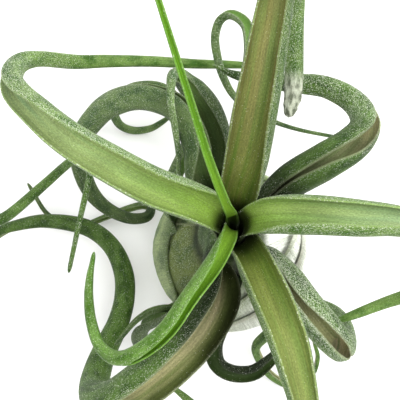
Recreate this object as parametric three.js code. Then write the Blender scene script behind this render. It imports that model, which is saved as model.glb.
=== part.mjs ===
import * as THREE from "three";

// An air plant in mm, +Z up. The origin is the middle of the flat root pad that it rests on.
// A short stem carries sixteen leaves. Each leaf is one solid: a sheath that wraps round the
// bulb, then a channelled blade that arches out and curls.

// ---- stem ----
const PAD_RADIUS = 9;
const PAD_THICKNESS = 1.2;
const STEM_RADIUS = 5;
const STEM_TAPER = 0.2; // mm of radius lost for each mm of height
const STEM_TOP = 19;
const STEM_SIDES = 20;

// ---- bulb: nested sheath layers, 0 innermost to 7 outermost ----
// The young leaves, layers 0 to 2, stand close round the core. The older ones lie one on the
// other as the bulb's shell, with a hollow between the two.
const BULGE_Z = 22; // height of the widest part
const SHELL_FIRST = 3;
const SHELL_LAST = 7;
// Height, radius of the empty core, step from one inner layer to the next, the shell's outer
// radius, step from one shell layer to the next.
const LAYER_STEPS = [
  [22, 1.6, 2.85, 26.4, 1.5],
  [29, 1.5, 2.72, 25.3, 1.5],
  [36, 1.4, 2.45, 23.2, 1.5],
  [42, 1.3, 2.12, 19.9, 1.48],
  [48, 1.2, 1.82, 16.2, 1.45],
  [54, 1.1, 1.62, 14.2, 1.45],
  [62, 1.0, 1.52, 13.2, 1.4],
  [80, 1.0, 1.45, 12.6, 1.4],
];
const SHEATH_BOTTOM_TOPMOST = 17; // where layer 0 leaves the stem
const SHEATH_BOTTOM_STEP = 2.05; // each layer outwards leaves the stem this much lower
const SHEATH_THICKNESS = 0.85; // at the bulge
const SHEATH_THICKNESS_FOOT = 1.3;
const SHEATH_THICKNESS_NECK = 0.95;
const SHEATH_GAP = 0.45; // between a sheath's foot and the stem
const SHOULDER = 14; // the part of a sheath's height over which it narrows to its blade
const SHOULDER_WIDTH = 1.18; // the sheath's top, as a share of the blade's first width
const EDGE_THICKNESS = 0.65; // along every leaf margin

// ---- blades ----
const BLADE_THICKNESS = 0.17; // as a share of the blade's width
const BLADE_THICKNESS_MIN = 0.72;
const BLADE_THICKNESS_MAX = 1.25;
const SECTION_PARTS = 6; // flats across a leaf
const LONGEST_STEP = 10; // mm from one section to the next
const TURN_STEP = 24; // degrees of bend from one section to the next
const FINE_STEPS = 12; // parts of a course used to carry the twist along

// ---- colours, youngest leaves to oldest ----
const FINISHES = {
  stem: { color: 0x6b5238, roughness: 0.95 },
  young: { color: 0x6fa83c, roughness: 0.5 },
  bright: { color: 0x83ad52, roughness: 0.55 },
  olive: { color: 0x7d8f4a, roughness: 0.6 },
  tawny: { color: 0x6f7a52, roughness: 0.7 },
  dark: { color: 0x4c6344, roughness: 0.7 },
  pale: { color: 0xa3ab8c, roughness: 0.8 },
};

// Each leaf: its sheath's layer, bearing and half-angle in degrees, the height of the sheath's
// top, and the blade's course. A course point is x, y, z, width, curl, twist: curl is the
// half-angle of the channel (90 is half a tube), twist turns the channel about the course.
const LEAVES = [
  {
    name: "leaf_01",
    finish: "young",
    layer: 0,
    bearing: 109,
    half: 56,
    top: 80,
    course: [
      [-2.7, 3.6, 92, 2.5, 66, 0],
      [-6.8, 11, 108, 2.2, 76, 0],
      [-10.3, 19, 122, 1.9, 90, 0],
      [-14, 28, 134, 1.7, 100, 0],
      [-17.5, 37, 144, 1.5, 110, 0],
      [-21.5, 48, 152, 1.3, 120, 0],
    ],
  },
  {
    name: "leaf_02",
    finish: "young",
    layer: 0,
    bearing: 236,
    half: 56,
    top: 77,
    course: [
      [-2.5, -6, 87, 4.6, 100, -10],
      [-6, -13, 93, 4.9, 132, -30],
      [-11.5, -21, 97, 4.7, 144, -40],
      [-17, -29, 98, 4.6, 148, -46],
      [-23.5, -34, 95, 4.4, 150, -54],
      [-29, -35.5, 91, 3.9, 150, -64],
      [-33.5, -32.5, 88, 3.2, 148, -72],
      [-36, -26.5, 86, 2.8, 145, -76],
      [-37, -20, 84, 2.4, 145, -76],
      [-37, -14.5, 82, 1.9, 140, -76],
      [-36.5, -10.5, 81, 1.3, 135, -76],
    ],
  },
  {
    name: "leaf_03",
    finish: "bright",
    layer: 1,
    bearing: 8,
    half: 60,
    top: 73,
    course: [
      [7, 0.2, 85, 8.4, 92, -8],
      [12.5, 0, 91, 9.8, 128, -14],
      [20.5, -0.8, 95, 9.9, 138, -17],
      [30.5, -1.7, 96, 9.2, 141, -20],
      [41, -1.9, 92, 7.7, 138, -20],
      [50.5, -3.5, 84, 6.4, 138, -20],
      [56, -8, 74, 5.8, 138, -15],
      [56, -13, 65, 4.9, 134, -8],
      [50.5, -16, 58, 4.2, 125, 0],
      [43, -18.5, 53.5, 3.5, 130, 0],
      [35, -21.5, 51.2, 2.9, 130, 0],
      [28, -24, 49.5, 1.5, 130, 0],
    ],
  },
  {
    name: "leaf_04",
    finish: "bright",
    layer: 1,
    bearing: 155,
    half: 60,
    top: 72,
    course: [
      [-7, 3, 84, 9.2, 105, -6],
      [-12.5, 4.5, 90, 10, 126, -10],
      [-21, 7, 95, 10, 124, -14],
      [-31, 12, 98, 9.6, 124, -17],
      [-41, 18, 99, 8.9, 126, -22],
      [-49, 25, 97, 8, 130, -34],
      [-56.5, 33.5, 91, 6.9, 138, -50],
      [-57, 40.5, 84, 5.8, 140, -35],
      [-52.5, 44.5, 77, 5.1, 110, 0],
      [-43.5, 46.5, 68, 4.6, 116, 0],
      [-34.5, 49.5, 59, 4, 122, 0],
      [-23.5, 52.5, 49, 3.5, 128, 0],
      [-10.5, 54.5, 40, 3.1, 130, 0],
      [2, 56, 34, 2.5, 130, 0],
      [14, 56.5, 30, 1.4, 130, 0],
    ],
  },
  {
    name: "leaf_05",
    finish: "olive",
    layer: 2,
    bearing: 295,
    half: 58,
    top: 67,
    course: [
      [4, -8.5, 80, 8.6, 100, -6],
      [6.5, -15.5, 88, 9.8, 120, -9],
      [9.5, -23.5, 93, 10.2, 122, -11],
      [12.5, -32, 95, 9.8, 123, -12],
      [14.5, -39, 93, 8.8, 124, -12],
      [16.5, -46, 88, 7.6, 126, -12],
      [18, -52.5, 81, 6.5, 130, -10],
      [16, -58, 73, 5.6, 130, 0],
      [9.5, -60.5, 65, 4.8, 112, 0],
      [2, -58, 58, 4, 120, 0],
      [-5.5, -51.5, 53, 3.2, 126, 0],
      [-12, -45.5, 49, 2.4, 130, 0],
      [-17, -41.5, 46, 1.4, 130, 0],
    ],
  },
  {
    name: "leaf_06",
    finish: "olive",
    layer: 2,
    bearing: 80,
    half: 58,
    top: 66,
    course: [
      [1.5, 8.2, 80, 10, 90, -6],
      [3.5, 15.5, 88, 11.2, 112, -16],
      [5.5, 26, 95, 11.3, 120, -21],
      [7.5, 36.5, 99, 10.6, 122, -22],
      [9.5, 47.5, 101, 9.6, 124, -22],
      [11.5, 58.5, 97, 8.4, 124, -20],
      [14.5, 67.5, 88, 7.2, 122, -12],
      [16.5, 69.5, 78, 6.3, 106, 0],
      [17.2, 65, 72, 5.6, 112, 0],
      [17.2, 57.5, 68, 5.4, 116, 0],
      [17.3, 49.5, 65, 5.3, 120, 0],
      [17.3, 43, 63, 5.3, 120, 0],
      [17, 39, 62, 5.1, 118, 0],
      [16.5, 36.4, 62, 4.2, 116, 0],
    ],
  },
  {
    name: "leaf_07",
    finish: "tawny",
    layer: 4,
    bearing: 205,
    half: 45,
    top: 60,
    course: [
      [-5, -9, 73, 10.4, 98, 4],
      [-5, -18.5, 79, 12.4, 124, 15],
      [-9.6, -27.5, 81, 12.8, 130, 19],
      [-17, -35.5, 79, 12.8, 133, 20],
      [-24.5, -41.5, 74, 12.4, 135, 21],
      [-31, -45, 67, 11.6, 136, 23],
      [-36, -44.5, 58.5, 10, 134, 24],
      [-38, -41, 50, 8.6, 130, 22],
      [-37.5, -35.5, 43, 7.7, 126, 20],
      [-35.5, -29, 37, 7, 122, 20],
      [-33, -22.5, 32, 6.5, 116, 18],
      [-31.5, -15, 28, 6.2, 118, 18],
      [-32, -7, 25, 6, 120, 18],
      [-35.5, 1, 23, 5.6, 120, 18],
      [-41.5, 6.5, 22, 5.3, 120, 18],
      [-49, 9, 22, 4.9, 122, 20],
      [-58.5, 9.5, 23, 4.3, 124, 40],
      [-67, 7, 26, 4, 126, 70],
      [-72, 3.5, 31, 3.6, 128, 100],
      [-74, 3.5, 36, 3.4, 130, 130],
      [-71, 6, 40, 3.3, 130, 150],
      [-65, 8, 43, 3.2, 130, 165],
      [-54, 15.5, 50, 2.8, 130, 170],
      [-48, 19.5, 55, 2.6, 130, 170],
      [-43.5, 21.5, 60, 2.4, 130, 170],
      [-40, 20.5, 63, 2.2, 130, 170],
      [-39.5, 16, 63, 1.9, 130, 170],
      [-41, 10, 60, 1.7, 130, 170],
      [-43, 3, 56, 1.5, 130, 170],
      [-45.5, -7.5, 52, 1.3, 130, 170],
    ],
  },
  {
    name: "leaf_08",
    finish: "tawny",
    layer: 3,
    bearing: 36,
    half: 58,
    top: 56,
    course: [
      [9.5, 7.5, 66, 8.5, 160, 4],
      [15.5, 12.5, 71, 9.6, 172, 6],
      [24.5, 17.5, 73, 10.2, 166, 8],
      [32, 22.5, 71, 9.8, 156, 20],
      [36.5, 28.5, 66, 8.8, 158, 28],
      [36.5, 34.5, 61, 7.7, 160, 36],
      [33, 39.5, 57, 7.1, 146, 38],
      [27, 43, 54, 6.6, 116, 50],
      [20.5, 45, 51, 5.9, 120, 60],
      [13, 46, 50, 4.8, 124, 60],
      [6, 47, 50, 3.5, 128, 60],
      [0.5, 48.5, 50, 2.3, 130, 60],
      [-2.5, 50, 50, 1.4, 130, 60],
    ],
  },
  {
    name: "leaf_09",
    finish: "dark",
    layer: 3,
    bearing: 131,
    half: 35,
    top: 52,
    course: [
      [-9.5, 15, 59, 8, 110, 0],
      [-10, 23.5, 62, 7.8, 138, 15],
      [-12, 30, 61, 8, 155, 20],
      [-15.5, 36, 58, 8, 160, 12],
      [-21, 40, 53, 8, 162, 2],
      [-28, 42.5, 47, 8, 164, -4],
      [-35.5, 42, 40, 7.8, 160, 10],
      [-41, 39.5, 33, 7.3, 148, 30],
      [-45.5, 35, 26, 6.8, 130, 50],
      [-47, 29, 20, 6.2, 120, 50],
      [-44.5, 21, 15, 5.4, 122, 50],
      [-39.5, 15.5, 12, 4.4, 124, 50],
      [-32, 12, 11, 3.8, 126, 50],
      [-26, 12.5, 10, 3.4, 128, 50],
      [-24.5, 16, 7.5, 2.9, 130, 50],
      [-27.5, 17.5, 4.5, 2.6, 130, 50],
      [-33, 16.5, 2.5, 2.4, 130, 50],
      [-40, 14, 1.5, 2.1, 130, 50],
      [-47.5, 11.5, 1.2, 1.8, 130, 50],
      [-55, 13, 1.5, 1.6, 130, 50],
      [-59.5, 15.5, 3, 1.5, 130, 50],
      [-63.5, 22, 7, 1.3, 130, 50],
    ],
  },
  {
    name: "leaf_10",
    finish: "dark",
    layer: 3,
    bearing: 272,
    half: 56,
    top: 46,
    course: [
      [-1, -16.5, 52, 7, 70, 0],
      [-3, -24.5, 50, 6, 84, 0],
      [-4.5, -30, 46, 5.4, 95, 0],
      [-3.5, -35, 43, 5.2, 105, 0],
      [0.5, -37.5, 42, 5.2, 112, 0],
      [6, -37.5, 42, 4.8, 118, 0],
      [10, -35, 43, 4, 122, 0],
      [13, -32, 45, 2.8, 126, 0],
      [14, -29, 47, 1.4, 130, 0],
    ],
  },
  {
    name: "leaf_11",
    finish: "tawny",
    layer: 5,
    bearing: 318,
    half: 56,
    top: 44,
    course: [
      [10.5, -8, 57, 8.6, 140, 0],
      [14.5, -13, 63, 9.3, 168, 4],
      [19, -20, 66, 9.7, 166, 2],
      [24, -26, 65.5, 9.6, 158, -5],
      [27.5, -29.6, 62.5, 9, 156, -8],
      [30, -31.2, 57, 8, 172, -4],
      [31.5, -28.5, 50, 7.1, 168, 0],
      [31.5, -24.5, 44.5, 6.3, 150, 0],
      [29.5, -20.5, 39, 5.5, 116, 0],
      [25, -18, 35, 4.7, 120, 0],
      [20.5, -19, 30, 4.2, 122, 0],
      [15.5, -23, 25, 3.6, 124, 0],
      [11, -26, 19, 3.4, 126, 0],
      [8.5, -29, 13, 3.1, 128, 0],
      [10, -33, 7.5, 3, 130, 0],
      [13.5, -37.5, 3.5, 2.7, 130, 0],
      [19, -40.5, 1.5, 2.5, 130, 0],
      [24.5, -40, 2, 2.2, 130, 0],
      [27.5, -36.5, 5, 1.9, 130, 0],
      [28.5, -32, 8, 1.6, 130, 0],
      [27.5, -28.5, 10, 1.3, 130, 0],
    ],
  },
  {
    name: "leaf_12",
    finish: "dark",
    layer: 6,
    bearing: 88,
    half: 46,
    top: 44,
    course: [
      [0.5, 15.5, 53, 6, 80, 0],
      [0.5, 20, 58, 4.6, 92, 0],
      [1, 26, 62, 4.5, 100, 0],
      [2.5, 34, 64, 4.7, 106, 0],
      [4.5, 43.5, 62, 4.3, 112, 0],
      [5.5, 53.5, 58, 3.8, 118, 0],
      [4.5, 62, 54, 3.5, 120, 0],
      [0.5, 66.5, 50, 3.3, 122, 0],
      [-2.7, 66, 47, 3.1, 124, 0],
      [-4.2, 61.5, 45, 3, 126, 0],
      [-3.5, 56, 43, 2.8, 128, 0],
      [-1.8, 50.5, 41, 2.6, 130, 0],
      [1.5, 45, 39, 2.3, 130, 0],
      [7, 41, 38, 2, 130, 0],
      [13, 37.5, 38, 1.6, 130, 0],
      [21, 34.5, 39, 1.3, 130, 0],
      [32, 32, 40, 1.2, 130, 0],
    ],
  },
  {
    name: "leaf_13",
    finish: "dark",
    layer: 7,
    bearing: 96,
    half: 44,
    top: 41,
    course: [
      [-4, 22, 46, 8, 90, 0],
      [-4, 30, 47, 8.8, 130, -5],
      [-6.5, 38, 47, 8.8, 150, -10],
      [-10, 43.5, 47, 8, 150, -10],
      [-13, 46, 50, 6.2, 145, -5],
      [-15, 46.5, 56, 4.6, 140, 0],
      [-16.5, 44.5, 63, 3.4, 140, 0],
      [-17, 40.5, 67, 2.6, 140, 0],
      [-17, 35.5, 68, 2.2, 140, 0],
      [-16, 29.5, 66, 1.9, 140, 0],
      [-15, 23, 61, 1.6, 140, 0],
      [-15, 18.5, 57, 1.3, 140, 0],
    ],
  },
  {
    name: "leaf_14",
    finish: "dark",
    layer: 6,
    bearing: 246,
    half: 20,
    top: 41,
    course: [
      [-14, -19.5, 44, 7, 76, 0],
      [-20.5, -22, 37, 6, 92, 0],
      [-25.5, -24, 30, 5.8, 104, 0],
      [-26.5, -27.5, 22, 5.4, 108, 0],
      [-23, -31, 15, 4.8, 112, 0],
      [-17, -32, 12, 4.4, 116, 0],
      [-12.5, -29.5, 14, 3.9, 120, 0],
      [-10.5, -26.5, 21, 3.4, 124, 0],
      [-12, -22.5, 30, 3, 126, 0],
      [-16, -19.5, 38, 2.7, 128, 0],
      [-22, -20, 43, 2.2, 130, 0],
      [-27, -23, 44, 1.8, 130, 0],
      [-31.5, -28, 43, 1.3, 130, 0],
    ],
  },
  {
    name: "leaf_15",
    finish: "dark",
    layer: 5,
    bearing: 160,
    half: 64,
    top: 40,
    course: [
      [-20, 13, 42, 6.5, 80, 0],
      [-16.5, 21, 41, 5.6, 100, 0],
      [-13, 30, 37, 5.2, 106, 0],
      [-11.5, 38, 31, 4.9, 112, 0],
      [-14.5, 44.5, 29, 4.6, 116, 0],
      [-21, 50.5, 26, 4.1, 120, 0],
      [-29, 52, 22, 3.8, 122, 0],
      [-34.5, 50.5, 16, 3.5, 124, 0],
      [-37, 47.5, 9, 3.1, 126, 0],
      [-35.5, 44.5, 3.5, 2.8, 128, 0],
      [-31, 43, 1.7, 2.6, 130, 0],
      [-25.5, 43.5, 2.2, 2.3, 130, 0],
      [-21.5, 45, 5, 1.9, 130, 0],
      [-18.5, 46.5, 8, 1.3, 130, 0],
    ],
  },
  {
    name: "leaf_16",
    finish: "pale",
    layer: 6,
    bearing: 322,
    half: 54,
    top: 38,
    course: [
      [14, -14, 43, 11, 40, 0],
      [13.5, -13.5, 47, 5, 50, 0],
      [13, -13, 50, 1.6, 60, 0],
    ],
  },
];

const rad = THREE.MathUtils.degToRad;

function stemRadius(z) {
  return STEM_RADIUS - STEM_TAPER * z;
}

// The outer radius of a layer at a height above the bulge.
function layerRadius(layer, z) {
  let i = 0;
  while (i < LAYER_STEPS.length - 2 && z > LAYER_STEPS[i + 1][0]) i++;
  const [low, high] = [LAYER_STEPS[i], LAYER_STEPS[i + 1]];
  const at = ([, core, step, shell, shellStep]) =>
    layer < SHELL_FIRST ? core + step * (layer + 1) : shell - shellStep * (SHELL_LAST - layer);
  return THREE.MathUtils.lerp(at(low), at(high), (z - low[0]) / (high[0] - low[0]));
}

function sheathThickness(z) {
  const t = THREE.MathUtils.smoothstep(z, BULGE_Z, 54);
  return THREE.MathUtils.lerp(SHEATH_THICKNESS, SHEATH_THICKNESS_NECK, t);
}

// The heights and radii of a sheath's sections, from its foot on the stem to its top.
function sheathProfile(layer, top) {
  const foot = SHEATH_BOTTOM_TOPMOST - SHEATH_BOTTOM_STEP * layer;
  const footRadius = stemRadius(foot) + SHEATH_GAP + SHEATH_THICKNESS_FOOT;
  const bulge = layerRadius(layer, BULGE_Z);
  const out = [];
  for (const s of [0, 0.16, 0.34, 0.54, 0.76]) {
    out.push({
      z: THREE.MathUtils.lerp(foot, BULGE_Z, s),
      radius: footRadius + (bulge - footRadius) * Math.sin((Math.PI / 2) * s),
      thickness: THREE.MathUtils.lerp(SHEATH_THICKNESS_FOOT, SHEATH_THICKNESS, s),
    });
  }
  const rim = layer < 3 ? [top] : [1, 0.75, 0.5, 0.25, 0].map((s) => top - s * SHOULDER);
  const heights = LAYER_STEPS.map(([z]) => z).filter((z) => z < rim[0] - 1.5);
  for (const z of [...heights, ...rim])
    out.push({ z, radius: layerRadius(layer, z), thickness: sheathThickness(z) });
  return out;
}

// A smooth course through four points, at t between the middle two.
function onCourse(p0, p1, p2, p3, t) {
  const t2 = t * t;
  const t3 = t2 * t;
  return new THREE.Vector3(
    ...["x", "y", "z"].map(
      (k) =>
        0.5 *
        (2 * p1[k] +
          (p2[k] - p0[k]) * t +
          (2 * p0[k] - 5 * p1[k] + 4 * p2[k] - p3[k]) * t2 +
          (3 * p1[k] - p0[k] - 3 * p2[k] + p3[k]) * t3),
    ),
  );
}

// One section of a leaf: an arc of the outer radius and an arc inside it.
function section(at, across, inwards, radius, half, thickness) {
  const outer = [];
  const inner = [];
  for (let i = 0; i <= SECTION_PARTS; i++) {
    const share = (2 * i) / SECTION_PARTS - 1;
    const angle = share * half;
    const wall = THREE.MathUtils.lerp(thickness, Math.min(thickness, EDGE_THICKNESS), share * share);
    const small = Math.max(radius - wall, radius * 0.16);
    const point = (r) =>
      at
        .clone()
        .addScaledVector(across, r * Math.sin(angle))
        .addScaledVector(inwards, radius - r * Math.cos(angle));
    outer.push(point(radius));
    inner.push(point(small));
  }
  return [...outer, ...inner.reverse()];
}

function loft(rings) {
  const count = rings[0].length;
  const positions = rings.flat().flatMap((p) => [p.x, p.y, p.z]);
  const index = [];
  for (let r = 0; r + 1 < rings.length; r++) {
    for (let i = 0; i < count; i++) {
      const j = (i + 1) % count;
      const a = r * count;
      const b = a + count;
      index.push(a + i, a + j, b + j, a + i, b + j, b + i);
    }
  }
  const last = (rings.length - 1) * count;
  for (let i = 0; i < SECTION_PARTS; i++) {
    const o0 = i;
    const o1 = i + 1;
    const n0 = count - 1 - i;
    const n1 = count - 2 - i;
    index.push(o0, n1, o1, o0, n0, n1);
    index.push(last + o0, last + o1, last + n1, last + o0, last + n1, last + n0);
  }
  const g = new THREE.BufferGeometry();
  g.setAttribute("position", new THREE.Float32BufferAttribute(positions, 3));
  g.setIndex(index);
  g.computeVertexNormals();
  return g;
}

function leafGeometry(layer, bearing, half, top, course) {
  const outwards = new THREE.Vector3(Math.cos(rad(bearing)), Math.sin(rad(bearing)), 0);
  const inwards = outwards.clone().negate();
  const across = new THREE.Vector3(-outwards.y, outwards.x, 0);
  const rings = [];
  const profile = sheathProfile(layer, top);
  const shoulder = profile[profile.length - 1];
  const below = profile[profile.length - 2];
  const reach = (SHOULDER_WIDTH * course[0][3]) / 2 / shoulder.radius;
  const topHalf = Math.min(rad(half), Math.asin(Math.min(0.95, reach)));
  for (const { z, radius, thickness } of profile) {
    const at = outwards.clone().multiplyScalar(radius).setZ(z);
    const drop = Math.min(1, (top - z) / SHOULDER);
    const spread = THREE.MathUtils.lerp(topHalf, rad(half), 1 - (1 - drop) ** 2);
    rings.push(section(at, across, inwards, radius, spread, thickness));
  }

  // The blade: carry the inward direction along the course without spin, then add the twist.
  const onSheath = (p) => outwards.clone().multiplyScalar(p.radius).setZ(p.z);
  const points = [
    onSheath(below),
    onSheath(shoulder),
    ...course.map(([x, y, z]) => new THREE.Vector3(x, y, z)),
  ];
  points.push(points.at(-1).clone().multiplyScalar(2).sub(points.at(-2)));
  const sizes = [
    {
      width: 2 * shoulder.radius * Math.sin(topHalf),
      half: topHalf,
      thickness: shoulder.thickness,
      twist: 0,
    },
    ...course.map(([, , , width, curl, twist]) => ({
      width,
      half: rad(curl),
      thickness: THREE.MathUtils.clamp(width * BLADE_THICKNESS, BLADE_THICKNESS_MIN, BLADE_THICKNESS_MAX),
      twist: rad(twist),
    })),
  ];
  let carried = inwards.clone();
  for (let s = 0; s + 1 < sizes.length; s++) {
    const [p0, p1, p2, p3] = points.slice(s, s + 4);
    const fine = [];
    for (let i = 0; i <= FINE_STEPS; i++) fine.push(onCourse(p0, p1, p2, p3, i / FINE_STEPS));
    const tangentAt = (t) => {
      const a = onCourse(p0, p1, p2, p3, Math.max(0, t - 0.01));
      return onCourse(p0, p1, p2, p3, Math.min(1, t + 0.01)).sub(a).normalize();
    };
    let length = 0;
    let turn = 0;
    for (let i = 1; i <= FINE_STEPS; i++) {
      length += fine[i].distanceTo(fine[i - 1]);
      turn += tangentAt(i / FINE_STEPS).angleTo(tangentAt((i - 1) / FINE_STEPS));
    }
    const steps = Math.max(1, Math.ceil(Math.max(length / LONGEST_STEP, turn / rad(TURN_STEP)) - 0.15));
    let done = 0;
    for (let i = 1; i <= FINE_STEPS; i++) {
      const t = i / FINE_STEPS;
      const along = tangentAt(t);
      carried.addScaledVector(along, -carried.dot(along)).normalize();
      if (i * steps < (done + 1) * FINE_STEPS) continue;
      done = Math.floor((i * steps) / FINE_STEPS);
      const mix = (k) => THREE.MathUtils.lerp(sizes[s][k], sizes[s + 1][k], t);
      const inward = carried.clone().applyAxisAngle(along, mix("twist"));
      const side = inward.clone().cross(along);
      const curl = mix("half");
      const radius = mix("width") / 2 / Math.sin(Math.min(curl, Math.PI / 2));
      // The course runs through the middle of the channel's depth.
      const sink = ((radius * (1 - Math.cos(curl))) / 2) * Math.min(1, s + t);
      const at = fine[i].clone().addScaledVector(inward, -sink);
      rings.push(section(at, side, inward, radius, curl, mix("thickness")));
    }
  }
  return loft(rings);
}

function stemGeometry() {
  const outline = [
    [0, 0],
    [PAD_RADIUS, 0],
    [PAD_RADIUS, PAD_THICKNESS * 0.6],
    [PAD_RADIUS - 1.2, PAD_THICKNESS],
    [stemRadius(PAD_THICKNESS), PAD_THICKNESS + 0.2],
    [stemRadius(STEM_TOP), STEM_TOP],
    [0, STEM_TOP + 0.4],
  ].map(([r, z]) => new THREE.Vector2(r, z));
  const g = new THREE.LatheGeometry(outline, STEM_SIDES);
  g.rotateX(Math.PI / 2);
  return g;
}

function meshOf(name, geometry, finish) {
  const material = new THREE.MeshStandardMaterial({ ...FINISHES[finish], metalness: 0 });
  const mesh = new THREE.Mesh(geometry, material);
  mesh.name = name;
  return mesh;
}

const group = new THREE.Group();
group.add(meshOf("stem", stemGeometry(), "stem"));
const rosette = new THREE.Group();
for (const { name, finish, layer, bearing, half, top, course } of LEAVES) {
  rosette.add(meshOf(name, leafGeometry(layer, bearing, half, top, course), finish));
}
group.add(rosette);

export default group;
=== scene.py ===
"""An air plant: sixteen channelled leaves that sheath a bulb, arch out and curl.

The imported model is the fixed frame. Each of its leaves gets a finer skin on the same course, with
ribs, folds and rounded margins, and a coat of small silver scales. The bare foot that the plant
rests on gets its dry root stubs. Sizes are in millimetres, and MM turns them into metres.
"""

import logging
import math
from dataclasses import dataclass, field
from enum import Enum

import bpy
import numpy as np
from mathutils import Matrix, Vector, noise


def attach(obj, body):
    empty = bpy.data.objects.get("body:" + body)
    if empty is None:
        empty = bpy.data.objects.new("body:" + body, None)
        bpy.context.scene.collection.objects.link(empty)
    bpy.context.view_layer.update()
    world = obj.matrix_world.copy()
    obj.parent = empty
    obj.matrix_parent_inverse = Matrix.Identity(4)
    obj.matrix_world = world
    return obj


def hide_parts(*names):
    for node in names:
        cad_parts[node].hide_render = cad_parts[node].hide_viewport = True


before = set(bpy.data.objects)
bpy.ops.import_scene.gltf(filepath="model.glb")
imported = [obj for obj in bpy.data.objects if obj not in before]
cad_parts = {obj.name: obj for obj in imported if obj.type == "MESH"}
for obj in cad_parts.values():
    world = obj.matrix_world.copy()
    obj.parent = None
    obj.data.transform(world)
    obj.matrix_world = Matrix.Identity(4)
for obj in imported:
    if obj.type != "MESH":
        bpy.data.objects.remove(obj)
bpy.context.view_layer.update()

MM = 0.001
PALE_SIDE = (0.95, -0.3)  # direction of the side where the sheaths are pale and papery, with a highlight painted on them
PALE_FROM, PALE_FULL = 0.3, 0.75  # how far towards it that pale painted highlight starts and is full
NECK_LOW, NECK_HIGH = 45, 54  # heights between which painted shade darkens the sheaths inside the neck
# radii inside which the painted shade in the neck is full, and beyond which it is gone
NECK_CORE, NECK_RADIUS = 12, 17
LEAN_FROM, LEAN_FADE = 1.1, 2.9  # a leaning leaf's streaks are full to 0.4 of its half width, gone at 0.7
HEART_FULL, HEART_OUTSIDE = 0.3, 0.4  # share of the painted shade at a blade's foot that is full, and its strength on the outer face
FADE_UNDER, FADE_OVER = 9, 3  # the sheath's look fades from this far under its top to this far over
TURN_LENGTH = 5  # length over which a blade's sections turn from level to square
TIP, DRY_TIP = 2.2, 0.9  # length of the point, to the blade's last width
DRY_FULL = 0.6  # share of a withered tip, from its point, that is fully dry
FOLD_RUN, FOLD_BLADE, FOLD_SHEATH = 0.07, 0.32, 0.15  # how close folds lie along and across a leaf
CREASE_RUN, CREASE_ACROSS = 1.1, 0.9  # and how close a withered tip's creases lie
CURL_RUN, CURL_SWING = 0.11, 0.03  # how often and how far a blade's curl wanders
log = logging.getLogger("air_plant")

Stops = tuple[tuple[float, float], ...]
Colour = tuple[float, float, float, float]


class Finish(Enum):
    """The kinds of leaf, youngest first. Each value is the record's material slot."""

    YOUNG = "young_leaf"
    BRIGHT = "bright_leaf"
    OLIVE = "olive_leaf"
    TAWNY = "tawny_leaf"
    DARK = "dark_leaf"
    PALE = "pale_sheath"


# ---------------------------------------------------------------- small helpers


def linear(code: str) -> Colour:
    """The colour of a hex code such as #7fa03c as linear red, green and blue, with an alpha of 1."""
    parts = [int(code[i : i + 2], 16) / 255 for i in (1, 3, 5)]
    return (*[c / 12.92 if c < 0.04045 else ((c + 0.055) / 1.055) ** 2.4 for c in parts], 1.0)


def unit(v: np.ndarray) -> np.ndarray:
    """The vector or vectors v at length 1."""
    return v / np.maximum(np.linalg.norm(v, axis=-1, keepdims=True), 1e-12)


def turned(v: np.ndarray, axis: np.ndarray, angle: float) -> np.ndarray:
    """The vector v, square to axis, turned about it by angle in radians."""
    return v * math.cos(angle) + np.cross(axis, v) * math.sin(angle)


def smooth(x: float, low: float, high: float) -> float:
    """0 below low, 1 above high, and an even S between them."""
    t = min(1.0, max(0.0, (x - low) / (high - low)))
    return t * t * (3 - 2 * t)


def ramp(x: np.ndarray, low: float, high: float) -> np.ndarray:
    """0 below low, 1 above high, and a straight rise between them."""
    return np.clip((x - low) / (high - low), 0, 1)


def through(p: np.ndarray, t: float) -> np.ndarray:
    """A point on the smooth curve through four rows of p, at t between the middle two."""
    a, b, c, d = p
    return 0.5 * (2 * b + (c - a) * t + (2 * a - 5 * b + 4 * c - d) * t**2 + (3 * b - a - 3 * c + d) * t**3)


def heading(p: np.ndarray, t: float) -> np.ndarray:
    """The direction of that curve at t."""
    a, b, c, d = p
    return unit((c - a) + 2 * (2 * a - 5 * b + 4 * c - d) * t + 3 * (3 * b - a - 3 * c + d) * t**2)


def eased(stops: Stops, x: float) -> float:
    """The value at a place on a line of stops, smooth from stop to stop.

    Args:
        stops: places in rising order, each with its value.
        x: the place.

    Returns:
        The value there, which past either end is that end's own.
    """
    places = [p for p, _ in stops]
    values = [v for _, v in stops]
    if x <= places[0]:
        return values[0]
    for i in range(1, len(places)):
        if x <= places[i]:
            return values[i - 1] + (values[i] - values[i - 1]) * smooth(x, places[i - 1], places[i])
    return values[-1]


def wander(x: float, y: float, z: float) -> float:
    """Smooth noise from about -1 to 1, the same on each run."""
    return noise.noise(Vector((x, y, z)))


def closed_mesh(
    name: str, points: list[Vector] | list[list[float]], faces: list[list[int]], rounded: bool = True
) -> bpy.types.Mesh:
    """Makes a mesh from points in millimetres.

    Args:
        name: the mesh's name.
        points: its points.
        faces: the corners of each face.
        rounded: whether light flows smoothly over its edges.

    Returns:
        The mesh.
    """
    mesh = bpy.data.meshes.new(name)
    mesh.from_pydata([[c * MM for c in p] for p in points], [], faces)
    mesh.polygons.foreach_set("use_smooth", [rounded] * len(mesh.polygons))
    mesh.update()
    return mesh


# ---------------------------------------------------------------- shader expressions


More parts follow.
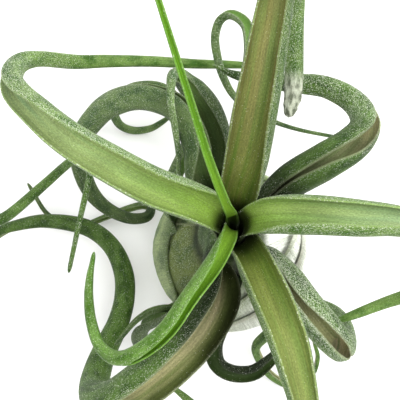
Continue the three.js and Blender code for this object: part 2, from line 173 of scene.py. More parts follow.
class Signal:
    """A value that passes between shader nodes. Arithmetic on it adds Math nodes."""

    def __init__(self, shop: "NodeShop", socket: bpy.types.NodeSocket) -> None:
        """Keeps the socket, and the shop that adds nodes to its tree."""
        self.shop = shop
        self.socket = socket

    def _math(self, operation: str, first: "Value", second: "Value" = 0.0) -> "Signal":
        """One Math node over two values."""
        return self.shop.add("ShaderNodeMath", {"operation": operation}, {0: first, 1: second})

    def __add__(self, other: "Value") -> "Signal":
        """self + other."""
        return self._math("ADD", self, other)

    __radd__ = __add__

    def __sub__(self, other: "Value") -> "Signal":
        """self - other."""
        return self._math("SUBTRACT", self, other)

    def __rsub__(self, other: "Value") -> "Signal":
        """other - self."""
        return self._math("SUBTRACT", other, self)

    def __mul__(self, other: "Value") -> "Signal":
        """self * other."""
        return self._math("MULTIPLY", self, other)

    __rmul__ = __mul__

    def clamped(self) -> "Signal":
        """self held between 0 and 1."""
        return self.shop.add("ShaderNodeClamp", {}, {0: self})

    def rise(self, low: float, high: float) -> "Signal":
        """0 where self is below low, 1 above high, and an even S between them."""
        settings = {"interpolation_type": "SMOOTHSTEP"}
        return self.shop.add("ShaderNodeMapRange", settings, {0: self, 1: low, 2: high, 3: 0.0, 4: 1.0})


Value = Signal | float | Colour


@dataclass(frozen=True)
class Grain:
    """A noise: its cycles per metre along the leaf, across it and from face to face, and its detail."""

    scale: tuple[float, float, float]
    detail: float = 2.0
    roughness: float = 0.5


# On a leaf:
FIBRE = Grain((30, 1500, 900), 3.0)
BANDS = Grain((22, 420, 300))
PATCHES = Grain((120, 190, 160), 4.0, 0.6)
BLOTCH = Grain((190, 400, 260), 3.0, 0.6)
FLAKES = Grain((420, 760, 600), 3.0)
GRIT = Grain((1700, 2300, 2000))
SPECK = Grain((3600, 5200, 4400), 1.0)
# On a scale, the foot and the floor, along x, y and z:
UNEVEN = Grain((900, 900, 900))
BARK = Grain((1400, 1400, 160), 4.0, 0.6)
WEAR = Grain((240, 240, 240), 3.0)
PLASTER = Grain((40, 40, 40))


class NodeShop:
    """One material and the nodes in it."""

    def __init__(self, name: str) -> None:
        """Starts a material with only its output node.

        Args:
            name: the material's name.
        """
        self.material = bpy.data.materials.new(name)
        self.material.use_nodes = True
        self.tree = self.material.node_tree
        self.tree.nodes.clear()

    def add(self, kind: str, settings: dict, inputs: dict, output: int | str = 0) -> Signal:
        """Adds one node.

        Args:
            kind: the node's type.
            settings: its properties, set before its inputs.
            inputs: the value or signal of each input, by index or name.
            output: the output to hand back, by index or name.

        Returns:
            That output as a signal.
        """
        node = self.tree.nodes.new(kind)
        for key, value in settings.items():
            setattr(node, key, value)
        for key, value in inputs.items():
            if isinstance(value, Signal):
                self.tree.links.new(value.socket, node.inputs[key])
            else:
                node.inputs[key].default_value = value
        return Signal(self, node.outputs[output])

    def mix(self, share: Value, first: Value, second: Value) -> Signal:
        """The first colour, going over to the second as share goes from 0 to 1."""
        return self.add("ShaderNodeMix", {"data_type": "RGBA"}, {0: share, 6: first, 7: second}, 2)

    def shaded(self, colour: Value, by: Signal) -> Signal:
        """The colour times a number."""
        return self.add("ShaderNodeVectorMath", {"operation": "SCALE"}, {0: colour, 3: by})

    def named(self, attribute: str, output: str = "Fac") -> Signal:
        """What the mesh holds under that name."""
        return self.add("ShaderNodeAttribute", {"attribute_name": attribute}, {}, output)

    def parts(self, vector: Signal) -> tuple[Signal, Signal, Signal]:
        """The three numbers of a vector."""
        split = self.add("ShaderNodeSeparateXYZ", {}, {0: vector})
        return split, Signal(self, split.socket.node.outputs[1]), Signal(self, split.socket.node.outputs[2])

    def cloud(self, place: Signal, grain: Grain) -> Signal:
        """Soft noise from 0 to 1."""
        spread = self.add("ShaderNodeVectorMath", {"operation": "MULTIPLY"}, {0: place, 1: grain.scale})
        return self.add("ShaderNodeTexNoise", {}, {0: spread, 2: 1.0, 3: grain.detail, 4: grain.roughness})

    def finish(self, colour: Value, roughness: Value, height: Signal, depth: float, **fixed: float) -> None:
        """Ends the material in one shader with a bump.

        Args:
            colour: base colour.
            roughness: roughness.
            height: relief from 0 to 1.
            depth: depth of that relief in metres.
            fixed: the shader's other sockets, which stay the same all over.
        """
        bump = self.add("ShaderNodeBump", {}, {"Strength": 1.0, "Distance": depth, "Height": height})
        inputs = {"Base Color": colour, "Roughness": roughness, "Normal": bump}
        inputs |= {key.replace("_", " "): value for key, value in fixed.items()}
        shader = self.add("ShaderNodeBsdfPrincipled", {}, inputs)
        output = self.tree.nodes.new("ShaderNodeOutputMaterial")
        self.tree.links.new(shader.socket, output.inputs["Surface"])


# ---------------------------------------------------------------- finishes


@dataclass(frozen=True)
class LeafFinish:
    """The colours of one kind of leaf, with its coat of silver scales as specks and relief."""

    near: str  # inner face by the heart
    far: str  # inner face farther out
    warm: str  # brown or yellow streaks on the inner face
    flank: str  # outer face
    deep: str  # darker patches of the outer face
    rim: str  # margin
    sheath: str  # round the bulb
    frost: str = "#dbe2cd"
    roughness: float = 0.5
    paper_highlight: tuple[str, str] = ("#d2d6c9", "#eaece5")  # the pale papery sheath with its painted highlight, between its fibres and on them
    husk: tuple[str, str] = ("#5c6250", "#b3b8a4")  # the withered tip
    specular: float = 0.1
    relief: float = 0.00016

    def dress(self, name: str) -> bpy.types.Material:
        """Makes the material.

        Args:
            name: the material's name.

        Returns:
            The material, which reads what the skin holds in "flat", "place" and "coat", and its withered
            tip, painted shade and pale painted highlight.
        """
        shop = NodeShop(name)
        flat = shop.named("flat", "Vector")
        reach, rim, inner = shop.parts(shop.named("place", "Vector"))
        frost, warm, sheath = shop.parts(shop.named("coat", "Vector"))
        # the withered tip, painted shade, and the pale highlight painted on one side of the bulb
        dry, painted_shade, bleach_and_highlight = shop.parts(shop.named("dry_and_painted_light", "Vector"))

        fibre = shop.cloud(flat, FIBRE)
        bands = shop.cloud(flat, BANDS)
        patches = shop.cloud(flat, PATCHES)
        grit = shop.cloud(flat, GRIT)
        speck = shop.cloud(flat, SPECK)
        # The silver coat: thick in patches and along the margins, thin on the inner face.
        thick = frost * (0.3 + 1.4 * patches) + rim.rise(0.82, 1.0) * (0.04 + 0.35 * frost)
        thick = thick * (1 - 0.88 * inner)
        coat = (speck + 0.34 * thick).rise(0.6, 0.76) * (8 * thick).clamped()

        face = shop.mix(reach.rise(0.02, 0.45), linear(self.near), linear(self.far))
        face = shop.mix(warm * bands.rise(0.3, 0.6), face, linear(self.warm))
        blotch = shop.cloud(flat, BLOTCH)
        back = shop.mix(blotch.rise(0.3, 0.62), linear(self.deep), linear(self.flank))
        colour = shop.mix(inner.rise(0.3, 0.7), back, face)
        colour = shop.shaded(colour, 1 + (patches - 0.5) * 0.7)
        # The sheaths on the bulb, pale and papery on one side with a highlight painted there.
        bulb = shop.mix(patches.rise(0.4, 0.68) * 0.8, linear(self.sheath), linear(self.deep))
        paper_highlight = shop.mix(fibre.rise(0.35, 0.6), *map(linear, self.paper_highlight))
        bulb = shop.mix(bleach_and_highlight, bulb, paper_highlight)
        # the pale painted highlight also lightens the sheaths' inner faces in the shaded gaps between them
        colour = shop.mix(sheath * (1 - 0.7 * inner * (1 - bleach_and_highlight)), colour, bulb)
        colour = shop.shaded(colour, 0.6 + 0.8 * fibre)
        # fine grain, stronger where the coat is thick: partly the leaf's own grain, partly painted shade
        # between the scales
        colour = shop.shaded(colour, 1 + (grit - 0.5) * (1.1 + 3.6 * frost * (1 - 0.8 * inner)))
        colour = shop.mix(rim.rise(0.96, 0.99) * 0.35, colour, linear(self.rim))
        colour = shop.mix(coat * 0.65, colour, linear(self.frost))
        # The withered tip, and over all the painted shade: at the blades' feet, inside the neck and along
        # stretches of the blades.
        flakes = shop.cloud(flat, FLAKES)
        husk = shop.mix(flakes.rise(0.34, 0.66), *map(linear, self.husk))
        colour = shop.mix(dry, colour, shop.shaded(husk, 0.6 + 0.8 * grit))
        colour = shop.shaded(colour, 1 - 0.86 * painted_shade)

        rough = (self.roughness + 0.28 * frost + 0.2 * coat).clamped()
        height = 0.45 * coat + 0.25 * fibre + 0.2 * patches
        shop.finish(colour, rough, height, self.relief, Specular_IOR_Level=self.specular)
        return shop.material


@dataclass(frozen=True)
class ScaleFinish:
    """The silver scales that stand on a leaf."""

    bright: str
    dull: str
    roughness: float = 0.55
    relief: float = 0.00003

    def dress(self, name: str) -> bpy.types.Material:
        """Makes the material.

        Args:
            name: the material's name.

        Returns:
            The material, uneven from scale to scale.
        """
        shop = NodeShop(name)
        place = shop.add("ShaderNodeTexCoord", {}, {}, "Object")
        uneven = shop.cloud(place, UNEVEN)
        colour = shop.mix(uneven.rise(0.3, 0.7), linear(self.dull), linear(self.bright))
        shop.finish(colour, self.roughness + 0.2 * uneven, uneven, self.relief)
        return shop.material


@dataclass(frozen=True)
class RootFinish:
    """The dry, fibrous foot."""

    bark: str = "#6a5037"
    pale: str = "#a58a63"
    dark: str = "#382a1d"
    roughness: float = 0.82
    relief: float = 0.0004

    def dress(self, name: str) -> bpy.types.Material:
        """Makes the material.

        Args:
            name: the material's name.

        Returns:
            The material, with fibres running up the stem.
        """
        shop = NodeShop(name)
        place = shop.add("ShaderNodeTexCoord", {}, {}, "Object")
        fibre = shop.cloud(place, BARK)
        patches = shop.cloud(place, WEAR)
        colour = shop.mix(fibre.rise(0.3, 0.62), linear(self.dark), linear(self.bark))
        colour = shop.mix(patches.rise(0.45, 0.75) * 0.7, colour, linear(self.pale))
        shop.finish(colour, self.roughness + 0.16 * fibre, 0.6 * fibre + 0.4 * patches, self.relief)
        return shop.material


LEAF_FINISHES = {
    Finish.YOUNG: LeafFinish(
        near="#688a2a", far="#55811a", warm="#7d9034", flank="#5d7d3a", deep="#3d5f1a",
        rim="#6f9a3c", sheath="#8aa860", roughness=0.42,
    ),
    Finish.BRIGHT: LeafFinish(
        near="#79973a", far="#87a074", warm="#979e64", flank="#627d3e", deep="#37591b",
        rim="#92ab62", sheath="#93a76c", roughness=0.46,
    ),
    Finish.OLIVE: LeafFinish(
        near="#4e6b10", far="#7f9350", warm="#948a52", flank="#546d32", deep="#325216",
        rim="#98a668", sheath="#8a9a66", roughness=0.5,
    ),
    Finish.TAWNY: LeafFinish(
        near="#5f6c34", far="#7f8f5c", warm="#cdc096", flank="#516d30", deep="#2e4819",
        rim="#a3a884", sheath="#66733e", roughness=0.52,
    ),
    Finish.DARK: LeafFinish(
        near="#5a743e", far="#789c50", warm="#8a825f", flank="#5d7342", deep="#3d5630",
        rim="#87966c", sheath="#94a571", roughness=0.52,
    ),
    Finish.PALE: LeafFinish(
        near="#7d7c5c", far="#9a987a", warm="#b3a98a", flank="#a9ac94", deep="#8d9276",
        rim="#e2e2d2", sheath="#999f8d", roughness=0.6,
    ),
}
SCALE_FINISH = ScaleFinish(bright="#eef1e4", dull="#b9c2a6")


# ---------------------------------------------------------------- bulb


@dataclass(frozen=True)
class Bulb:
    """The nested sheaths: how wide each layer is at each height, and where it leaves the stem."""

    bulge: float = 22.0  # height of the widest part
    shell_first: int = 3  # the first of the older layers, which lie close together
    shell_last: int = 7
    # Height, radius of the empty core, step from one inner layer to the next, the shell's outer
    # radius, step from one shell layer to the next.
    steps: tuple[tuple[float, float, float, float, float], ...] = (
        (22, 1.6, 2.85, 26.4, 1.5), (29, 1.5, 2.72, 25.3, 1.5), (36, 1.4, 2.45, 23.2, 1.5),
        (42, 1.3, 2.12, 19.9, 1.48), (48, 1.2, 1.82, 16.2, 1.45), (54, 1.1, 1.62, 14.2, 1.45),
        (62, 1.0, 1.52, 13.2, 1.4), (80, 1.0, 1.45, 12.6, 1.4),
    )
    foot_topmost: float = 17.0
    foot_step: float = 2.05
    foot_wall: float = 1.3
    wall: float = 0.85
    neck_wall: float = 0.95
    neck: float = 54.0
    gap: float = 0.45  # between a sheath's foot and the stem
    stem_radius: float = 5.0
    stem_taper: float = 0.2
    stem_top: float = 19.0
    short_step: float = 1.5  # the last section under a young sheath's top is at least this far below
    long_step: float = 3.5  # and under an older one's top, this far

    def stem(self, z: float) -> float:
        """The stem's radius at a height."""
        return self.stem_radius - self.stem_taper * z

    def foot(self, layer: int) -> float:
        """The height at which a layer leaves the stem."""
        return self.foot_topmost - self.foot_step * layer

    def radius(self, layer: int, z: float) -> float:
        """The outer radius of a layer.

        Args:
            layer: 0 for the innermost.
            z: height.

        Returns:
            The radius, swelling from the foot to the bulge and narrowing to the neck.
        """
        young, inside = layer < self.shell_first, self.shell_last - layer
        known = [
            (h, core + step * (layer + 1) if young else shell - lap * inside)
            for h, core, step, shell, lap in self.steps
        ]
        if z < self.bulge:
            foot = self.foot(layer)
            start = self.stem(foot) + self.gap + self.foot_wall
            share = (z - foot) / (self.bulge - foot)
            return start + (known[0][1] - start) * math.sin(math.pi / 2 * share)
        i = 0
        while i < len(known) - 2 and z > known[i + 1][0]:
            i += 1
        slopes = [(b[1] - a[1]) / (b[0] - a[0]) for a, b in zip(known, known[1:])]
        before = 0.0 if i == 0 else (slopes[i - 1] + slopes[i]) / 2
        after = slopes[i] if i == len(slopes) - 1 else (slopes[i] + slopes[i + 1]) / 2
        (z0, r0), (z1, r1) = known[i], known[i + 1]
        span = z1 - z0
        t = (z - z0) / span
        return (
            r0 * (2 * t**3 - 3 * t**2 + 1)
            + span * before * (t**3 - 2 * t**2 + t)
            + r1 * (3 * t**2 - 2 * t**3)
            + span * after * (t**3 - t**2)
        )

    def thickness(self, layer: int, z: float) -> float:
        """The thickness of a layer.

        Args:
            layer: 0 for the innermost.
            z: height.

        Returns:
            The thickness, thinning from the foot to the bulge and then growing a little to the neck.
        """
        if z < self.bulge:
            share = (z - self.foot(layer)) / (self.bulge - self.foot(layer))
            return self.foot_wall + (self.wall - self.foot_wall) * share
        return self.wall + (self.neck_wall - self.wall) * smooth(z, self.bulge, self.neck)

    def below_top(self, layer: int, top: float) -> float:
        """The height of the last section under a sheath's top.

        Args:
            layer: 0 for the innermost.
            top: height of the sheath's top.

        Returns:
            The height, which gives the course its direction where the blade leaves the sheath.
        """
        if layer >= self.shell_first:
            return top - self.long_step
        return max(s[0] for s in self.steps if s[0] < top - self.short_step)


BULB = Bulb()


# ---------------------------------------------------------------- leaves


@dataclass
class Station:
    """One section of a leaf: where it is, which way it faces and how it is curled."""

    at: np.ndarray  # middle of the outer face
    side: np.ndarray
    inward: np.ndarray
    along: np.ndarray
    width: float
    curl: float  # half-angle of the channel in radians
    wall: float
    run: float = 0.0  # length from the foot
    reach: float = 0.0  # 0 where the blade leaves the bulb, 1 at the tip
    sheath: float = 1.0  # 1 on the bulb, 0 on the blade

    @property
    def radius(self) -> float:
        """The radius of the channel."""
        return self.width / 2 / math.sin(min(self.curl, math.pi / 2))


@dataclass
class Skin:
    """The surface of a leaf as a closed grid: a row for each station, a column for each point round it."""

    points: np.ndarray
    flat: np.ndarray
    place: np.ndarray
    coat: np.ndarray
    # for each point: the withered tip, painted shade, and the pale painted highlight on the sheaths
    dry_and_painted_light: np.ndarray
    parts: int  # flats across the leaf
    cap: int  # points round each margin

    def faces(self) -> np.ndarray:
        """Joins the rows.

        Returns:
            The corners of each quad between them, by vertex index.
        """
        rows, columns = self.points.shape[:2]
        first = np.arange(rows - 1)[:, None] * columns + np.arange(columns)[None, :]
        beside = np.arange(rows - 1)[:, None] * columns + (np.arange(columns)[None, :] + 1) % columns
        return np.stack([first, beside, beside + columns, first + columns], -1).reshape(-1, 4)

    def end_faces(self, row: int, outwards: bool) -> list[list[int]]:
        """The faces that close one end.

        Args:
            row: the first or the last row.
            outwards: whether to turn the faces round.

        Returns:
            Quads across the wall, and one face at each margin.
        """
        columns = self.points.shape[1]
        start = row * columns
        n, cap = self.parts, self.cap
        inner = [2 * n + 1 + cap - i for i in range(n + 1)]  # across the wall from each outer vertex
        found = [[i, inner[i], inner[i + 1], i + 1] for i in range(n)]
        found.append([n, inner[n], *range(n + cap, n, -1)])
        found.append([*range(2 * n + 2 + cap, columns), 0, inner[0]][::-1])
        return [[start + i for i in (f[::-1] if outwards else f)] for f in found]

    def mesh(self, name: str) -> bpy.types.Mesh:
        """Makes the mesh with its attributes, faces outwards and smooth.

        Args:
            name: the mesh's name.

        Returns:
            The closed mesh.
        """
        quads = [list(map(int, f)) for f in self.faces()]
        ends = self.end_faces(0, False) + self.end_faces(len(self.points) - 1, True)
        mesh = closed_mesh(name, self.points.reshape(-1, 3).tolist(), quads + ends)
        for key in ("flat", "place", "coat", "dry_and_painted_light"):
            layer = mesh.attributes.new(key, "FLOAT_VECTOR", "POINT")
            layer.data.foreach_set("vector", getattr(self, key).astype(np.float32).ravel())
        return mesh


@dataclass(frozen=True)
class Coat:
    """The silver scales: small closed slivers with a raised tip, more of them where the coat is thick."""

    length: tuple[float, float] = (0.18, 0.32)
    breadth: float = 0.1
    rise: float = 0.13
    sunk: float = 0.05
    bare: float = 0.06  # scales for each square mm of a smooth face
    thick: float = 4.5  # more of them where the coat is full
    margin: float = 1.2  # more of them along a margin
    margin_from: float = 0.9  # where a margin starts, from the middle of the leaf
    margin_bare: float = 0.3  # how much of that a leaf without a coat still has
    inner: float = 0.25  # share of the full coat on an inner face
    bulb: float = 0.15  # share of the coat on the bulb
    swing: float = 0.45  # how far a scale turns from the leaf's direction, in radians
    uneven: tuple[float, float] = (0.6, 1.3)  # height of a scale's tip, as a share of rise

    def mesh(self, name: str, skin: Skin, rng: np.random.Generator) -> bpy.types.Mesh:
        """Strews scales over a skin.

        Args:
            name: the mesh's name.
            skin: the surface that they stand on.
            rng: the seeded draws.

        Returns:
            One mesh of closed four-sided slivers.
        """
        p = skin.points
        beside = np.roll(p, -1, axis=1)
        a, b, c, d = p[:-1], beside[:-1], beside[1:], p[1:]
        cross = np.cross(b - a, d - a)
        area = np.linalg.norm(cross, axis=-1)
        frost = skin.coat[:-1, :, 0]
        rim = ramp(skin.place[:-1, :, 1], self.margin_from, 1.0)
        outside = 1 - (1 - self.inner) * skin.place[:-1, :, 2]
        along_margin = self.margin * rim * (self.margin_bare + frost)
        wanted = area * (self.bare + self.thick * frost * outside + along_margin)
        # fewer scales where the pale highlight is painted on the sheaths
        wanted *= (1 - (1 - self.bulb) * skin.coat[:-1, :, 2]) * (1 - skin.dry_and_painted_light[:-1, :, 2])
        counts = rng.poisson(wanted)
        rows, columns = np.nonzero(counts)
        times = counts[rows, columns]
        rows, columns = np.repeat(rows, times), np.repeat(columns, times)
        u, v = rng.random((2, len(rows), 1))
        pick = (rows, columns)
        at = (1 - u) * ((1 - v) * a[pick] + v * d[pick]) + u * ((1 - v) * b[pick] + v * c[pick])
        up = unit(cross[pick])
        ahead = unit(d[pick] - a[pick])
        swing = rng.normal(0, self.swing, (len(rows), 1))
        ahead = unit(ahead * np.cos(swing) + np.cross(up, ahead) * np.sin(swing))
        over = np.cross(up, ahead)
        size = rng.uniform(*self.length, (len(rows), 1))
        lift = self.rise * rng.uniform(*self.uneven, (len(rows), 1))
        middle = at - up * self.sunk * 0.5
        corners = np.stack(
            [
                at - ahead * size * 0.5 - up * self.sunk,
                middle + over * self.breadth * 0.5,
                middle - over * self.breadth * 0.5,
                at + ahead * size * 0.5 + up * lift,
            ],
            1,
        )
        start = np.arange(len(rows))[:, None, None] * 4
        faces = start + np.array([[0, 1, 2], [0, 3, 1], [0, 2, 3], [1, 3, 2]])
        return closed_mesh(name, corners.reshape(-1, 3).tolist(), faces.reshape(-1, 3).tolist(), False)


@dataclass(frozen=True)
class Leaf:
    """One leaf. A course point is x, y, z, width, curl and, where it isn't 0, twist: curl is the
    half-angle of the channel in degrees, and twist turns the channel about the course."""

    node: str
    finish: Finish
    layer: int
    bearing: float
    half: float
    top: float
    course: tuple[tuple[float, ...], ...]
    frost: Stops = ((0.0, 0.35), (1.0, 0.35))
    warm: Stops = ((0.0, 0.0),)
    dark: float = 6.0  # length of the blade's foot darkened by painted shade, most on the inner face
    shade: Stops = ((0.0, 0.0),)  # painted shade along the blade, partly its own darker tone, from its foot to its tip
    dry: float = 0.0  # length of the withered tip
    step: float = 1.0  # from one row to the next
    shoulder: float = 14.0  # height over which the sheath narrows to the blade
    shoulder_width: float = 1.18
    edge: float = 0.5  # thickness of the margin
    sheath_edge: float = 1.35  # and on the sheath
    walls: tuple[float, float] = (0.72, 1.25)  # thinnest and thickest middle of the blade
    wall_share: float = 0.17  # its thickness to its width
    rib: float = 0.07  # height of the blade's ribs
    pleat: float = 0.09  # height of the sheath's pleats
    pleat_width: float = 2.6
    fold: float = 0.09  # height of the blade's slow folds
    sheath_fold: float = 0.33  # and of the sheath's
    crease: float = 0.5  # height of the withered tip's creases
    lean: float = 0.0  # 1 keeps the warm streaks to one side of the inner face, the painted shade to the other
    cap: int = 3  # points round a margin
    flats: tuple[int, int] = (14, 26)  # fewest and most flats across
    flats_per_mm: float = 2.4
    ribs_per_mm: float = 0.8
    rib_wall: float = 1.2  # how much thicker the wall is at a rib, to the rib's height
    least_inner: float = 0.16  # least radius of the inner face, to the channel's

    @property
    def outwards(self) -> np.ndarray:
        """The level direction in which the leaf leaves the bulb."""
        a = math.radians(self.bearing)
        return np.array([math.cos(a), math.sin(a), 0.0])

    @property
    def widest(self) -> float:
        """The blade's greatest width."""
        return max(c[3] for c in self.course)

    @property
    def top_curl(self) -> float:
        """The sheath's half-angle at its top."""
        share = self.shoulder_width * self.course[0][3] / 2 / BULB.radius(self.layer, self.top)
        return min(math.radians(self.half), math.asin(min(0.95, share)))

    def on_sheath(self, z: float) -> np.ndarray:
        """The middle of the sheath's outer face at a height."""
        return self.outwards * BULB.radius(self.layer, z) + np.array([0, 0, z])

    def sheath_stations(self) -> list[Station]:
        """Lays out the sheath.

        Returns:
            Its level sections, from its foot to its top.
        """
        foot = BULB.foot(self.layer)
        rows = max(2, math.ceil((self.top - foot) / self.step))
        side = np.array([-self.outwards[1], self.outwards[0], 0.0])
        found = []
        for z in np.linspace(foot, self.top, rows + 1):
            drop = min(1.0, (self.top - z) / self.shoulder)
            curl = self.top_curl + (math.radians(self.half) - self.top_curl) * (1 - (1 - drop) ** 2)
            width = 2 * BULB.radius(self.layer, z) * math.sin(curl)
            wall = BULB.thickness(self.layer, z)
            up = np.array([0.0, 0.0, 1.0])
            found.append(Station(self.on_sheath(z), side, -self.outwards, up, width, curl, wall))
        return found

    def knots(self, start: Station) -> tuple[np.ndarray, np.ndarray]:
        """The points that the blade's course runs through, with one more before and after.

        Args:
            start: the sheath's last section.

        Returns:
            The points, and the width, curl, wall and twist at each.
        """
        points = [self.on_sheath(BULB.below_top(self.layer, self.top)), self.on_sheath(self.top)]
        points += [np.array(c[:3], float) for c in self.course]
        points.append(2 * points[-1] - points[-2])
        sizes = [(start.width, start.curl, start.wall, 0.0)]
        for c in self.course:
            wall = float(np.clip(self.wall_share * c[3], *self.walls))
            sizes.append((c[3], math.radians(c[4]), wall, math.radians(c[5]) if len(c) > 5 else 0.0))
        return np.array(points), np.array([sizes[0], *sizes, sizes[-1]])

    def blade_stations(self, start: Station) -> list[Station]:
        """Lays out the blade.

        Args:
            start: the sheath's last section.

        Returns:
            Its sections, each square to the course.
        """
        knots, sizes = self.knots(start)
        carried = -self.outwards
        found = []
        gone = 0.0
        for s in range(len(self.course)):
            p, q = knots[s : s + 4], sizes[s : s + 4]
            fine = [through(p, share) for share in np.linspace(0, 1, 13)]
            length = sum(np.linalg.norm(b - a) for a, b in zip(fine, fine[1:]))
            rows = max(3, math.ceil(length / self.step))
            for i in range(1, rows + 1):
                t = i / rows
                along = heading(p, t)
                carried = unit(carried - along * carried.dot(along))
                width, curl, wall, twist = through(q, t)
                inward = turned(carried, along, twist)
                turned_off = smooth(gone + t * length, 0, TURN_LENGTH)
                square = unit(along * turned_off + np.array([0, 0, 1 - turned_off]))
                inward = unit(inward - square * inward.dot(square))
                side = np.cross(inward, square)
                new = Station(through(p, t), side, inward, along, width, curl, wall, sheath=0.0)
                new.at = new.at - inward * new.radius * (1 - math.cos(curl)) / 2 * min(1.0, s + t)
                found.append(new)
            gone += length
        return found

    def tip_stations(self, last: Station, rows: int = 7) -> list[Station]:
        """Brings the blade to its point.

        Args:
            last: the blade's last section.
            rows: how many sections to add.

        Returns:
            The added sections, each smaller than the one before.
        """
        length = (DRY_TIP if self.dry else TIP) * last.width
        found = []
        for i in range(1, rows + 1):
            share = i / rows
            size = last.width * max(0.04, math.sqrt(1 - share**2))
            at = last.at + last.along * length * share
            at = at + last.inward * (last.width - size) / 2
            found.append(
                Station(at, last.side, last.inward, last.along, size, last.curl, last.wall, sheath=0.0)
            )
        return found

    def stations(self) -> list[Station]:
        """Lays out the whole leaf.

        Returns:
            All sections from the foot to the point, with how far along each is.
        """
        sheath = self.sheath_stations()
        blade = self.blade_stations(sheath[-1])
        found = sheath + blade + self.tip_stations(blade[-1])
        for before, here in zip(found, found[1:]):
            here.run = before.run + float(np.linalg.norm(here.at - before.at))
        leaves = sheath[-1].run
        whole = found[-1].run - leaves
        for here in found:
            here.reach = max(0.0, (here.run - leaves) / whole)
            here.sheath = 1 - smooth(here.run, leaves - FADE_UNDER, leaves + FADE_OVER)
        return found

    def skin(self, seed: float) -> Skin:
        """Lays the surface over the stations.

        Args:
            seed: tells this leaf's folds from the others'.

        Returns:
            The closed grid, with its ribs, folds and rounded margins.
        """
        stations = self.stations()
        parts = int(min(self.flats[1], max(self.flats[0], self.flats_per_mm * self.widest)))
        share = np.linspace(-1, 1, parts + 1)
        whole = stations[-1].run
        leaves = next(s.run for s in stations if s.at[2] >= self.top)
        places = np.concatenate([share, np.ones(self.cap), share[::-1], -np.ones(self.cap)])
        face = np.repeat([0.0, 0.5, 1.0, 0.5], [parts + 1, self.cap, parts + 1, self.cap])
        side = np.clip(1 - self.lean * (LEAN_FADE * places - LEAN_FROM), 0, 1)

        def columns(*values: float | np.ndarray) -> np.ndarray:
            """The values side by side, a row for each point round the section."""
            return np.stack([np.ones(len(places)) * value for value in values], -1)

        rows: dict[str, list] = {key: [] for key in ("points", "flat", "place", "coat", "dry_and_painted_light")}
        for here in stations:
            dry = smooth(here.run, whole - self.dry, whole - self.dry * DRY_FULL) if self.dry else 0.0
            ring = self._section(here, share, dry, seed)
            across = here.radius * here.curl * places
            streaks = eased(self.warm, here.reach) * side
            # painted shade, and the pale highlight painted on one side of the bulb's sheaths
            painted_shade, bleach_and_highlight = self._wear(here, ring, here.run - leaves, face, side)
            rows["points"].append(ring)
            rows["flat"].append(columns(here.run, across, face * 3 + seed * 7) * MM)
            rows["place"].append(columns(here.reach, abs(places), face))
            rows["coat"].append(columns(eased(self.frost, here.reach), streaks, here.sheath))
            rows["dry_and_painted_light"].append(columns(dry, painted_shade, bleach_and_highlight))
        return Skin(**{key: np.array(value) for key, value in rows.items()}, parts=parts, cap=self.cap)

    def _section(self, here: Station, share: np.ndarray, dry: float, seed: float) -> np.ndarray:
        """The points round one section.

        Args:
            here: the section.
            share: places across the leaf, from -1 to 1.
            dry: how withered the leaf is here, from 0 to 1.
            seed: tells this leaf's folds from the others'.

        Returns:
            A ring: outer face, one margin, inner face back again, the other margin.
        """
        across = here.radius * here.curl * share
        blade = 1 - here.sheath
        calm = min(1.0, here.width / 6) * (1 - share**4)
        ribs = max(3, round(self.widest * self.ribs_per_mm))
        rib = self.rib * np.cos(math.pi * ribs * share) * blade
        rib = rib + self.pleat * np.cos(2 * math.pi * across / self.pleat_width) * here.sheath
        close = FOLD_BLADE * blade + FOLD_SHEATH * here.sheath
        fold = [wander(here.run * FOLD_RUN, x * close, seed) for x in across]
        fold = (self.fold * blade + self.sheath_fold * here.sheath) * np.array(fold)
        crease = [wander(here.run * CREASE_RUN, x * CREASE_ACROSS, seed + 5) for x in across] if dry else 0.0
        swell = calm * (rib + fold) + dry * self.crease * np.array(crease)
        curl = here.curl * (1 + CURL_SWING * wander(here.run * CURL_RUN, 0, seed + 9) * blade)
        edge = self.edge * blade + self.sheath_edge * here.sheath
        wall = here.wall + (edge - here.wall) * share**2
        outer = here.radius + swell
        inner = np.maximum(outer - wall - self.rib_wall * calm * rib, self.least_inner * here.radius)
        margin = np.linspace(0, math.pi, self.cap + 2)[1:-1]
        angle, radius = self._ring(share * curl, outer, inner, margin)
        aside, deep = radius * np.sin(angle), here.radius - radius * np.cos(angle)
        return here.at + here.side * aside[:, None] + here.inward * deep[:, None]

    def _wear(
        self, here: Station, ring: np.ndarray, past: float, face: np.ndarray, side: np.ndarray
    ) -> tuple[np.ndarray, np.ndarray]:
        """The painted shade and the pale painted highlight round one section.

        Args:
            here: the section.
            ring: its points.
            past: length from the sheath's top.
            face: 0 on the outer face, 1 on the inner one.
            side: 1 on the side with the warm streaks.

        Returns:
            The painted shade, and the pale highlight painted on one side of the bulb's sheaths, from 0 to 1.
        """
        # painted shade at the blade's foot, full on the inner face
        foot = 1 - smooth(past, HEART_FULL * self.dark, self.dark)
        foot = foot * (HEART_OUTSIDE + (1 - HEART_OUTSIDE) * face)
        away = np.hypot(ring[:, 0], ring[:, 1]) + 0.01
        # painted shade on the sheaths inside the bulb's neck
        neck = smooth(here.at[2], NECK_LOW, NECK_HIGH) * (1 - ramp(away, NECK_CORE, NECK_RADIUS))
        # painted shade along the blade, kept off the side with the warm streaks
        shade = eased(self.shade, here.reach) * (1 - self.lean * side * face)
        blade = 1 - here.sheath
        # all the painted shade together
        dark = np.maximum(foot * blade + neck * here.sheath, shade * blade)
        # pale highlight painted on the sheaths on one side of the bulb, none inside the neck
        faded = (ring[:, 0] * PALE_SIDE[0] + ring[:, 1] * PALE_SIDE[1]) / away
        return dark, ramp(faded, PALE_FROM, PALE_FULL) * here.sheath * (1 - neck)

